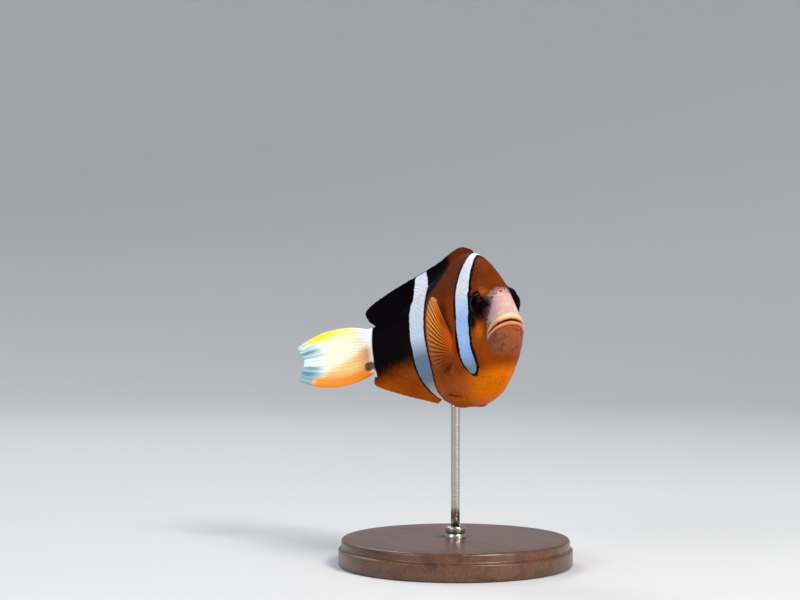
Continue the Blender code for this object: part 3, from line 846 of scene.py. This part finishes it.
def make_fins():
    made = fin("dorsal_fin", (11 * (SPINES + DORSAL_RAYS), 34), dorsal_centre, dorsal_ridges, 9)
    piece("dorsal_fin", made, DARK_FIN, ["dorsal_fin_spiny", "dorsal_fin_soft"])
    made = fin("anal_fin", (11 * ANAL_RAYS, 26), anal_centre, even_ridges(ANAL_RAYS, 0.5), 7)
    piece("anal_fin_rays", made, DARK_FIN, ["anal_fin"])
    ridges = even_ridges(TAIL_RAYS, 0.35)
    made = fin("tail_fin", (14 * TAIL_RAYS, 60), tail_centre, ridges, 28, 1.5, 5.0, tail_pleats)
    piece("tail_fin_rays", made, TAIL_FIN, ["tail_fin"])
    for side, word in ((1, "left"), (-1, "right")):
        ridges = even_ridges(PECTORAL_RAYS, 0.55)
        made = fin("pectoral_" + word, (11 * PECTORAL_RAYS, 46), pectoral_centre(side), ridges, 17, 0.9,
                   pleats=pectoral_pleats(side))
        piece("pectoral_rays_" + word, made, PECTORAL_FIN, ["pectoral_fin_" + word])
        ridges = even_ridges(PELVIC_RAYS, 0.45)
        made = fin("pelvic_" + word, (13 * PELVIC_RAYS, 34), pelvic_centre(side), ridges, 15, 0.5)
        piece("pelvic_rays_" + word, made, DARK_FIN, ["pelvic_fin_" + word])


# ---------------------------------------------------------------- eyes and stand

CORNEA_DOME = 0.22
BASE_RADIUS = 39.9
BASE_STEP = 5.6  # height of the small step round the base
BASE_UPPER = 38.9  # radius over the step
BASE_TOP = 9.0
FERRULE_RADIUS = 3.4
FERRULE_TOP = 13.0
ROD_RADIUS = 1.5
ROD_FOOT = 12.7
ROD_IN_BELLY = 1.6  # how far the rod goes on inside the fish


def eyeball(side, word):
    """An eye with a slightly domed front. It notes its own place: forward, up and out, in millimetres."""
    mesh = ball_mesh("eyeball", 64, 40)
    x, y, z = read(mesh).T
    look = unit(EYE_LOOK)
    ahead = unit(np.cross((0, 0, 1), look))
    up = np.cross(look, ahead)
    dome = CORNEA_DOME * bump(np.hypot(x, y) * EYE_RADIUS, 2.3) * (z > 0)
    eye_mm = np.stack([x * EYE_RADIUS, y * EYE_RADIUS, z * EYE_HALF_DEPTH + dome], -1)
    note(mesh, "eye_mm", eye_mm)
    settle(mesh, (EYE_AT + eye_mm @ np.array([ahead, up, look])) * (1, side, 1))
    piece("eyeball_" + word, mesh, EYE, ["eye_" + word])


def turned(name, profile, segments, inward=False):
    """A mesh turned on a lathe, from (radius, height) pairs in millimetres. Its faces look out, or in."""
    work = bmesh.new()
    line = [work.verts.new((radius * MM, 0, height * MM)) for radius, height in profile]
    edges = [work.edges.new(pair) for pair in zip(line, line[1:])]
    bmesh.ops.spin(work, geom=line + edges, cent=(0, 0, 0), axis=(0, 0, 1), angle=TURN,
                   steps=segments, use_merge=True)
    bmesh.ops.remove_doubles(work, verts=work.verts, dist=1e-6)
    bmesh.ops.recalc_face_normals(work, faces=work.faces)
    if inward:
        bmesh.ops.reverse_faces(work, faces=work.faces)
    mesh = as_mesh(name, work)
    mesh.shade_smooth()
    return mesh


def rounded(corner, start, end, radius, steps=5):
    """The points of a small round between two straight edges of a profile."""
    corner, start, end = (np.array(p, float) for p in (corner, start, end))
    a, b = corner + unit(start - corner) * radius, corner + unit(end - corner) * radius
    shares = np.linspace(0, 1, steps + 1)
    return [tuple((1 - t) ** 2 * a + 2 * t * (1 - t) * corner + t * t * b) for t in shares]


def make_stand():
    """A base with a small step round it and a shallow seat, a grooved ferrule, and a plain rod."""
    foot = [(0, 0)] + rounded((BASE_RADIUS, 0), (0, 0), (BASE_RADIUS, 5), 0.8)
    foot += rounded((BASE_RADIUS, BASE_STEP), (BASE_RADIUS, 0), (BASE_UPPER, BASE_STEP), 0.5)
    inner = (BASE_UPPER, BASE_STEP + 0.5)
    foot += rounded(inner, (BASE_UPPER + 0.5, BASE_STEP + 0.1), (BASE_UPPER, BASE_TOP), 0.25)
    foot += rounded((BASE_UPPER, BASE_TOP), (BASE_UPPER, BASE_STEP), (0, BASE_TOP), 1.1)
    foot += [(radius, BASE_TOP) for radius in (30, 20, 8, 3.9)] + [(3.6, 8.7), (0, 8.7)]
    piece("display_base", turned("display_base", foot, 160), WALNUT, ["stand_base"])

    cap = [(0, 8.75)] + rounded((FERRULE_RADIUS, 8.75), (0, 8.75), (FERRULE_RADIUS, 12), 0.1)
    groove = FERRULE_RADIUS - 0.15
    cap += [(FERRULE_RADIUS, 10.2), (groove, 10.35), (groove, 10.6), (FERRULE_RADIUS, 10.75)]
    cap += rounded((FERRULE_RADIUS, FERRULE_TOP), (FERRULE_RADIUS, 9), (0, FERRULE_TOP), 0.7)
    cap += [(1.85, 13.03), (1.65, 12.6), (0, 12.6)]
    piece("rod_ferrule", turned("rod_ferrule", cap, 96), TURNED_STEEL, ["stand_ferrule"])

    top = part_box("stand_rod")[1][2] / MM
    heights = (ROD_FOOT, 20, 30, 40, 50, top, top + ROD_IN_BELLY)
    rod = [(0, ROD_FOOT)] + [(ROD_RADIUS, height) for height in heights] + [(0, top + ROD_IN_BELLY)]
    piece("support_rod", turned("support_rod", rod, 64), TURNED_STEEL, ["stand_rod"])


# ---------------------------------------------------------------- materials


def paint(code):
    """A linear colour from an sRGB hex one."""
    parts = [int(code[i : i + 2], 16) / 255 for i in (1, 3, 5)]
    return [c / 12.92 if c <= 0.04045 else ((c + 0.055) / 1.055) ** 2.4 for c in parts] + [1.0]


def add(tree, kind, inputs, out=0, **settings):
    """Adds a node with its settings, and gives its output. An input is a value or another node's output."""
    node = tree.nodes.new("ShaderNode" + kind)
    for name, value in settings.items():
        setattr(node, name, value)
    for socket, value in inputs.items():
        if isinstance(value, bpy.types.NodeSocket):
            tree.links.new(value, node.inputs[socket])
        else:
            node.inputs[socket].default_value = value
    return node.outputs[out]


def layered(tree, ground, layers):
    """Lays colours over a ground. A layer is a value, its start, its full point, a strength and a colour."""
    colour = paint(ground) if isinstance(ground, str) else ground
    for value, start, full, strength, over in layers:
        mask = add(tree, "MapRange", {0: value, 1: start, 2: full, 4: strength})
        over = paint(over) if isinstance(over, str) else over
        colour = add(tree, "Mix", {0: mask, 6: colour, 7: over}, 2, data_type="RGBA")
    return colour


def bare(name, **shader):
    """A new material, its node tree, and its shader with those settings."""
    made = bpy.data.materials.new(name)
    made.use_nodes = True
    surface = made.node_tree.nodes["Principled BSDF"]
    for socket, value in shader.items():
        surface.inputs[socket.replace("_", " ")].default_value = value
    return made, made.node_tree, surface


def dress(tree, surface, colour, relief=()):
    """Gives a shader its colour and small relief: heights from 0 to 1, with their depths in millimetres."""
    tree.links.new(colour, surface.inputs["Base Color"])
    under = {}
    for height, depth in relief:
        raised = {"Height": height, "Distance": depth * MM, "Strength": 1.0, **under}
        under = {"Normal": add(tree, "Bump", raised)}
    if under:
        tree.links.new(under["Normal"], surface.inputs["Normal"])


def roughened(tree, value, noise, reach):
    """A value moved up and down by a noise, by up to that reach, so that an edge drawn from it is ragged."""
    moved = add(tree, "MapRange", {0: noise, 1: 0.27, 2: 0.73, 3: -reach, 4: reach})
    return add(tree, "Math", {0: value, 1: moved}, operation="ADD")


def where_both(tree, first, second):
    """1 where two values are past their full points, 0 where either is short of its start."""
    masks = [add(tree, "MapRange", {0: value, 1: start, 2: full})
             for value, start, full in (first, second)]
    return add(tree, "Math", dict(enumerate(masks)), operation="MULTIPLY")


def noted(tree, name):
    """The three parts of a value that a mesh notes for each vertex."""
    whole = add(tree, "Attribute", {}, "Vector", attribute_name=name)
    return add(tree, "SeparateXYZ", {0: whole}).node.outputs


def tail_colours(tree, place):
    """Cream, with a white ring round the root, yellow along the top, orange below and pale blue tips."""
    on_tail = add(tree, "Attribute", {}, "Vector", attribute_name="tail_place")
    # streaks along the rays, about 0.6 mm wide
    lengthways = add(tree, "Mapping", {0: on_tail, 3: (30.0, 1.6, 0.0)})
    streaks = add(tree, "TexNoise", {"Vector": lengthways, "Scale": 1.0, "Detail": 2.0})
    clouds = add(tree, "TexNoise", {"Vector": place, "Scale": 0.25, "Detail": 4.0})  # 4 mm
    yellow, teal, tips = (roughened(tree, part, streaks, 0.25) for part in noted(tree, "tail_cool"))
    peach, orange, stain = (roughened(tree, part, streaks, 0.2) for part in noted(tree, "tail_warm"))
    stain = roughened(tree, stain, clouds, 0.45)
    return layered(tree, "#FFF8DA", [
        (clouds, 0.45, 0.70, 0.35, "#FFFAB8"),
        (streaks, 0.48, 0.66, 0.5, "#FFFFF8"),
        (peach, 0.15, 1.0, 0.9, "#FBC878"),
        (peach, 1.0, 1.9, 0.75, "#DE9468"),
        (orange, 0.10, 0.60, 0.7, "#F59238"),
        (orange, 0.40, 1.0, 0.9, "#F58C0C"),
        (yellow, 0.20, 0.9, 0.94, "#FFEE30"),
        (tips, 0.2, 0.9, 0.95, "#D4E8F0"),
        (teal, 0.2, 1.15, 0.88, "#4A8CA4"),
        (noted(tree, "tail_place")[2], -1.6, 0.8, 0.95, "#FFFFFF"),
        (stain, 0.45, 0.95, 0.9, "#4C2810"),
    ]), streaks, clouds


def body_colours(tree):
    """The fish's markings, with the place and the noises that the relief shares with them."""
    place = add(tree, "Attribute", {}, "Vector", attribute_name="fish_mm")
    bars, zones, face, at = (noted(tree, name) for name in ("bars_mm", "zones", "face", "fish_mm"))
    broad = add(tree, "TexNoise", {"Vector": place, "Scale": 0.13, "Detail": 3.0})  # 8 mm clouds
    patches = add(tree, "TexNoise", {"Vector": place, "Scale": 0.55, "Detail": 4.0})  # 2 mm
    flecks = add(tree, "TexNoise", {"Vector": place, "Scale": 1.6, "Detail": 3.0})  # under 1 mm
    head, mid = roughened(tree, bars[0], patches, 0.26), roughened(tree, bars[1], patches, 0.26)
    black = roughened(tree, zones[0], patches, 0.55)
    # the snout's pink has a ragged edge, pale clouds inside it and dark freckles along its border
    pink, chin = roughened(tree, zones[2], patches, 0.14), roughened(tree, face[0], patches, 0.16)
    pale = where_both(tree, (patches, 0.42, 0.66), (pink, 0.0, 0.4))
    spots = where_both(tree, (patches, 0.50, 0.62), (chin, 0.1, 0.5))
    border = where_both(tree, (zones[2], 0.36, 0.06), (zones[2], -0.12, 0.0))
    freckles = where_both(tree, (border, 0.0, 0.6), (flecks, 0.48, 0.62))
    # the slit between the lips is darkened brown: painted shade in the crease
    from_slit = add(tree, "Math", {0: face[2]}, operation="ABSOLUTE")
    slit = where_both(tree, (from_slit, 0.48, 0.18), (face[1], 0.2, 0.6))
    # the lips are palest in the middle of the upper one, whose upper part is pale cream with a painted
    # highlight along its crest, and pinker towards the corners
    from_middle = add(tree, "Math", {0: at[1]}, operation="ABSOLUTE")
    lip = layered(tree, "#CE8456", [
        (face[2], 0.5, 1.5, 0.85, "#FFDCAC"),
        (from_middle, 2.0, 5.0, 0.7, "#DC9C82"),
        (patches, 0.5, 0.66, 0.35, "#E0A27A"),
        (flecks, 0.5, 0.7, 0.4, "#A8643C"),
    ])
    white = layered(tree, "#F6FAFF", [
        (patches, 0.52, 0.70, 0.4, "#C8DCFC"),
        (flecks, 0.55, 0.72, 0.35, "#B0C8F0"),
    ])
    # the head bar turns from white to sky blue down the cheek, and is grey at its end: painted bluish shade,
    # darker towards the bottom
    head_bar_white_and_painted_shade = layered(tree, white, [
        (at[2], 12.5, 2.5, 0.85, "#9CCAFF"),
        (at[2], -5.0, -10.0, 0.6, "#7CA2DA"),
        (at[2], -10.0, -14.0, 0.8, "#7A8288"),
    ])
    # wavy lines down the mid bar, 1.2 mm apart
    leaning = add(tree, "Mapping", {0: place, 2: (0.0, 0.35, 0.0)})
    wavy = {"Vector": leaning, "Scale": 0.26, "Distortion": 2.2, "Detail": 2.0, "Detail Scale": 0.6}
    waves = add(tree, "TexWave", wavy, "Fac", bands_direction="Z")
    # the mid bar turns bluer downwards and grey-blue low down, which is painted shade, and is cream at its
    # narrow lower end
    mid_bar_white_and_painted_shade = layered(tree, white, [
        (at[2], 22.0, 2.0, 0.55, "#C8E4FF"),
        (waves, 0.55, 0.95, 0.22, "#A9B6D6"),
        (at[2], 1.0, -6.0, 0.94, "#677E94"),
        (at[2], -14.5, -20.0, 0.95, "#E8CDB4"),
    ])
    tail = tail_colours(tree, place)[0]
    colour = layered(tree, "#8A3C06", [
        (broad, 0.38, 0.62, 0.7, "#AC4C06"),
        (at[2], 6.0, 15.0, 0.8, "#582206"),
        (zones[1], 0.05, 0.95, 0.96, "#F27C04"),
        (patches, 0.55, 0.75, 0.35, "#5E2606"),
        (flecks, 0.60, 0.80, 0.30, "#C06A14"),
        (zones[2], -0.85, -0.1, 0.8, "#5C220C"),
        (chin, -0.22, 0.42, 0.9, "#8A543C"),
        (spots, 0.0, 1.0, 0.55, "#54281A"),
        (pink, -0.18, 0.16, 0.95, "#C6A09A"),
        (pale, 0.0, 1.0, 0.5, "#D0C0C6"),
        (freckles, 0.1, 0.7, 0.85, "#5E3022"),
        (zones[0], -2.0, 0.3, 0.75, "#2C0C04"),
        (black, -0.8, 0.8, 0.99, "#050409"),
        (head, -1.75, -1.45, 0.99, "#040308"),
        (mid, -1.45, -1.15, 0.99, "#040308"),
        (head, -0.14, 0.14, 1.0, head_bar_white_and_painted_shade),
        (mid, -0.14, 0.14, 1.0, mid_bar_white_and_painted_shade),
        (bars[2], -0.2, 0.3, 1.0, tail),
        (face[1], -0.10, 0.35, 0.95, lip),
        # painted shade in the slit between the lips
        (slit, 0.0, 1.0, 0.92, "#4A2210"),
    ])
    return colour, place, at, patches, flecks


def wet_fish_skin():
    """Fish skin, wet: soft and a little clear, with a thin slime coat that gives small dull glints."""
    made, tree, surface = bare("wet_fish_skin", Roughness=0.45, IOR=1.25, Specular_IOR_Level=0.06,
                               Subsurface_Weight=0.06, Subsurface_Scale=0.001)
    colour, place, _, patches, flecks = body_colours(tree)
    # the face is pebbled, 0.7 mm from one bump to the next
    pores = add(tree, "TexVoronoi", {"Vector": place, "Scale": 1.5}, feature="SMOOTH_F1")
    dress(tree, surface, colour, [(patches, 0.08), (flecks, 0.05), (pores, 0.05)])
    return made


def wet_fish_scale():
    """Fish scale, wet: horny plates with a darker free edge and fine growth rings."""
    made, tree, surface = bare("wet_fish_scale", Roughness=0.45, IOR=1.25, Specular_IOR_Level=0.05)
    colour, _, _, _, flecks = body_colours(tree)
    colour = layered(tree, colour, [(noted(tree, "scale_place")[0], 0.70, 1.0, 0.12, "#1C1420")])
    # growth rings, drawn about 0.3 mm apart so that they show, where real ones are 0.05 mm
    on_scale = add(tree, "Attribute", {}, "Vector", attribute_name="scale_place")
    ringed = {"Vector": on_scale, "Scale": 1.6, "Distortion": 0.6}
    growth = add(tree, "TexWave", ringed, "Fac", wave_type="RINGS", rings_direction="Z")
    dress(tree, surface, colour, [(growth, 0.012), (flecks, 0.03)])
    return made


def fish_fin_membrane():
    """Clownfish fin: dark or orange membrane stretched between ridged rays."""
    made, tree, surface = bare("fish_fin_membrane", Roughness=0.5, IOR=1.25, Specular_IOR_Level=0.05)
    colour, _, at, patches, flecks = body_colours(tree)
    # only the dorsal fin has the dark margin, with a thin paler hem along its edge that is a painted
    # highlight
    out = noted(tree, "fin_place")[1]
    margin = where_both(tree, (out, 0.925, 0.955), (at[2], -2.0, 2.0))
    painted_edge_highlight = where_both(tree, (out, 0.985, 0.997), (at[2], -2.0, 2.0))
    colour = layered(tree, colour, [(margin, 0.0, 1.0, 0.95, "#06050A"), (painted_edge_highlight, 0.0, 1.0, 0.6, "#5A4A44")])
    dress(tree, surface, colour, [(patches, 0.05), (flecks, 0.05)])
    return made


def pale_tail_fin():
    """Tail fin: thin membrane, so that light softens in it."""
    made, tree, surface = bare("pale_tail_fin", Roughness=0.5, IOR=1.4, Specular_IOR_Level=0.15,
                               Subsurface_Weight=0.12, Subsurface_Scale=0.001)
    place = add(tree, "Attribute", {}, "Vector", attribute_name="fish_mm")
    colour, streaks, clouds = tail_colours(tree, place)
    dress(tree, surface, colour, [(streaks, 0.10), (clouds, 0.05)])
    return made


def orange_rayed_fin():
    """Pectoral fin: bright orange rays over a thin brown membrane."""
    made, tree, surface = bare("orange_rayed_fin", Roughness=0.45, IOR=1.25, Specular_IOR_Level=0.15)
    u, v, ray = noted(tree, "fin_place")
    place = add(tree, "Attribute", {}, "Vector", attribute_name="fish_mm")
    patches = add(tree, "TexNoise", {"Vector": place, "Scale": 0.4, "Detail": 4.0})  # 2.5 mm
    # its lower rays and the lower part of its root fade into the colour of the flank
    root = where_both(tree, (v, 0.50, 0.15), (u, 0.66, 0.30))
    bright = layered(tree, "#FFA22E", [
        (v, 0.74, 0.98, 0.6, "#CC9C74"),
        (u, 0.34, 0.70, 0.9, "#A64C0A"),
        (u, 0.70, 0.92, 0.8, "#7C3208"),
        (v, 0.56, 0.20, 0.8, "#944009"),
        (root, 0.0, 1.0, 0.8, "#F25C06"),
    ])
    membrane = layered(tree, "#9C4808", [
        (u, 0.10, 0.36, 0.9, "#7A3406"),
        (v, 0.62, 0.92, 0.75, "#6E4A38"),
        (u, 0.36, 0.70, 0.8, "#6C2C06"),
        (v, 0.54, 0.18, 0.9, "#8C3C07"),
        (root, 0.0, 1.0, 0.9, "#C84A04"),
    ])
    colour = layered(tree, membrane, [(ray, 0.04, 0.36, 1.0, bright), (patches, 0.55, 0.75, 0.2, "#8A3E08")])
    dress(tree, surface, colour, [(patches, 0.05)])
    return made


def dark_fish_eye():
    """Fish eye: a clear wet cornea over a dark iris with a thin gold ring round its pupil."""
    made, tree, surface = bare("dark_fish_eye", Roughness=0.06, IOR=1.12, Specular_IOR_Level=0.15)
    place = add(tree, "Attribute", {}, "Vector", attribute_name="eye_mm")
    flat = add(tree, "VectorMath", {0: place, 1: (1.0, 1.0, 0.0)}, operation="MULTIPLY")
    off = add(tree, "VectorMath", {0: flat}, "Value", operation="LENGTH")
    mottle = add(tree, "TexNoise", {"Vector": place, "Scale": 1.4, "Detail": 4.0})
    nudge = add(tree, "MapRange", {0: mottle, 1: 0.3, 2: 0.7, 3: -0.05, 4: 0.05})
    off = add(tree, "Math", {0: off, 1: nudge}, operation="ADD")
    # a faint orange patch of the iris, ahead of and above the pupil, partly iris colour and partly a painted
    # glint
    up_ahead = (0.22, 0.16, 0.0)
    ahead = add(tree, "VectorMath", {0: place, 1: up_ahead}, "Value", operation="DOT_PRODUCT")
    outside = add(tree, "MapRange", {0: off, 1: 2.4, 2: 2.7})
    iris_patch_and_glint = add(tree, "Math", {0: ahead, 1: mottle}, operation="MULTIPLY")
    iris_patch_and_glint = add(tree, "Math", {0: iris_patch_and_glint, 1: outside}, operation="MULTIPLY")
    dress(tree, surface, layered(tree, "#020203", [
        (off, 2.22, 2.27, 0.5, "#4A240A"),
        (off, 2.33, 2.42, 0.97, "#080302"),
        (iris_patch_and_glint, 0.30, 0.50, 0.3, "#8A3A12"),
        (off, 3.35, 3.6, 1.0, "#060304"),
    ]))
    return made


def lacquered_walnut():
    """Walnut, turned and lacquered satin: dark straight grain with fine pores, and a soft shine."""
    made, tree, surface = bare("lacquered_walnut", Roughness=0.38, IOR=1.5, Coat_Weight=0.35,
                               Coat_Roughness=0.22)
    place = add(tree, "TexCoord", {}, "Object")
    grain = add(tree, "Mapping", {0: place, 3: (0.12, 1.0, 1.0)})
    figure = {"Vector": grain, "Scale": 160.0, "Detail": 5.0, "Distortion": 0.8}  # 6 mm
    bands = add(tree, "TexNoise", figure)
    long_grain = add(tree, "Mapping", {0: place, 3: (0.03, 1.0, 1.0)})
    fibre = add(tree, "TexNoise", {"Vector": long_grain, "Scale": 1500.0, "Detail": 3.0})  # 0.7 mm
    dress(tree, surface, layered(tree, "#4A2A18", [
        (bands, 0.38, 0.62, 0.85, "#6E4327"),
        (bands, 0.58, 0.66, 0.35, "#2E1A10"),
        (fibre, 0.50, 0.62, 0.45, "#2A170E"),
    ]), [(fibre, 0.03)])
    return made


def turned_steel():
    """Stainless steel, turned and brushed: round tool marks, drawn 0.3 mm apart so that they show."""
    made, tree, surface = bare("turned_steel", Metallic=1.0, Roughness=0.28)
    place = add(tree, "TexCoord", {}, "Object")
    rings = add(tree, "Mapping", {0: place, 3: (0.02, 0.02, 1.0)})
    marks = add(tree, "TexNoise", {"Vector": rings, "Scale": 3300.0, "Detail": 2.0})
    gloss = add(tree, "MapRange", {0: marks, 1: 0.35, 2: 0.65, 3: 0.22, 4: 0.36})
    tree.links.new(gloss, surface.inputs["Roughness"])
    dress(tree, surface, layered(tree, "#B9B7B2", [(marks, 0.45, 0.65, 0.5, "#98958F")]), [(marks, 0.01)])
    return made


def pale_studio_paper():
    """Studio paper: pale and matt, with faint fibres about 1 mm apart."""
    made, tree, surface = bare("pale_studio_paper", Roughness=0.9)
    place = add(tree, "TexCoord", {}, "Object")
    fibres = add(tree, "TexNoise", {"Vector": place, "Scale": 900.0, "Detail": 2.0})
    dress(tree, surface, layered(tree, "#D6DADE", [(fibres, 0.4, 0.7, 0.4, "#CED2D6")]))
    return made


SKIN = wet_fish_skin()
SCALE = wet_fish_scale()
DARK_FIN = fish_fin_membrane()
TAIL_FIN = pale_tail_fin()
PECTORAL_FIN = orange_rayed_fin()
EYE = dark_fish_eye()
WALNUT = lacquered_walnut()
TURNED_STEEL = turned_steel()


# ---------------------------------------------------------------- the model


def make_skin():
    mesh = ball_mesh("skin", SKIN_COLUMNS, SKIN_RINGS)
    ring, share, side = sphere_places(mesh)
    settle(mesh, on_skin(HALF_SKIN, ring, share, side))
    marked(mesh, on_skin(PLAIN_HALF, ring, share, side))
    piece("fish_skin", mesh, SKIN,
          ["head", "lower_jaw", "gill_cover_left", "gill_cover_right", "trunk", "tail_stalk"])


make_skin()
coat("scales_left", 1, SCALE)
coat("scales_right", -1, SCALE)
make_fins()
eyeball(1, "left")
eyeball(-1, "right")
make_stand()


# ---------------------------------------------------------------- camera, light and floor

AZIMUTH = math.radians(61.8)
CAMERA_OFF = (-0.0254, 0.0096, 0.579)
RIGHT = Vector((math.cos(AZIMUTH), math.sin(AZIMUTH), 0))
UP = Vector((0, 0, 1))
BACKWARD = Vector((math.sin(AZIMUTH), -math.cos(AZIMUTH), 0))
SHOULDER = Vector(placed((30.0, 0, 0)))


def off_shoulder(right, up, back_off):
    """Metres off the fish's shoulder, as the camera sees it."""
    return RIGHT * right + UP * up + BACKWARD * back_off


lens = bpy.data.cameras.new("camera")
lens.sensor_width = 36.0
lens.lens = 78.3
lens.clip_start = 0.01
camera = in_scene("camera", lens)
turn = Matrix((RIGHT, UP, BACKWARD)).transposed().to_4x4()
camera.matrix_world = Matrix.Translation(SHOULDER + off_shoulder(*CAMERA_OFF)) @ turn
bpy.context.scene.camera = camera


def lamp(name, off, size, watts, colour):
    """A soft square lamp, placed off the shoulder and aimed at it."""
    light = bpy.data.lights.new(name, "AREA")
    light.size = size
    light.energy = watts
    light.color = paint(colour)[:3]
    made = in_scene(name, light)
    off = off_shoulder(*off)
    made.matrix_world = Matrix.Translation(SHOULDER + off) @ off.to_track_quat("Z", "Y").to_matrix().to_4x4()
    made.visible_camera = False


lamp("key", (0.50, 0.75, 0.60), 0.35, 12.0, "#FFF6EC")
lamp("fill", (-0.85, 0.5, 0.7), 0.5, 4.5, "#F4F6FF")
lamp("rim", (-0.4, 0.8, -0.7), 0.4, 4.0, "#FFFFFF")
lamp("low_front", (0.7, 0.10, 0.6), 0.3, 1.5, "#FFE9D0")

world = bpy.data.worlds.new("studio")
world.use_nodes = True
surroundings = world.node_tree.nodes["Background"]
surroundings.inputs["Color"].default_value = paint("#E8EEF6")
surroundings.inputs["Strength"].default_value = 0.3
bpy.context.scene.world = world

# A round sweep of paper, just under the stand: flat, then curving up far behind it
PAPER_FLAT = 900.0
PAPER_CURVE = 900.0
PAPER_TOP = 2200.0
PAPER_DROP = 0.2
sweep_line = [(0, 0), (400, 0), (PAPER_FLAT, 0)]
for angle in np.linspace(0.1, math.pi / 2, 16):
    sweep_line.append((PAPER_FLAT + PAPER_CURVE * math.sin(angle), PAPER_CURVE * (1 - math.cos(angle))))
sweep_line.append((PAPER_FLAT + PAPER_CURVE, PAPER_TOP))
sweep_line = [(radius, height - PAPER_DROP) for radius, height in sweep_line]
sweep_mesh = turned("paper_sweep", sweep_line, 96, inward=True)
sweep_mesh.materials.append(pale_studio_paper())
sweep = in_scene("paper_sweep", sweep_mesh)

bpy.context.scene.view_settings.view_transform = "Standard"
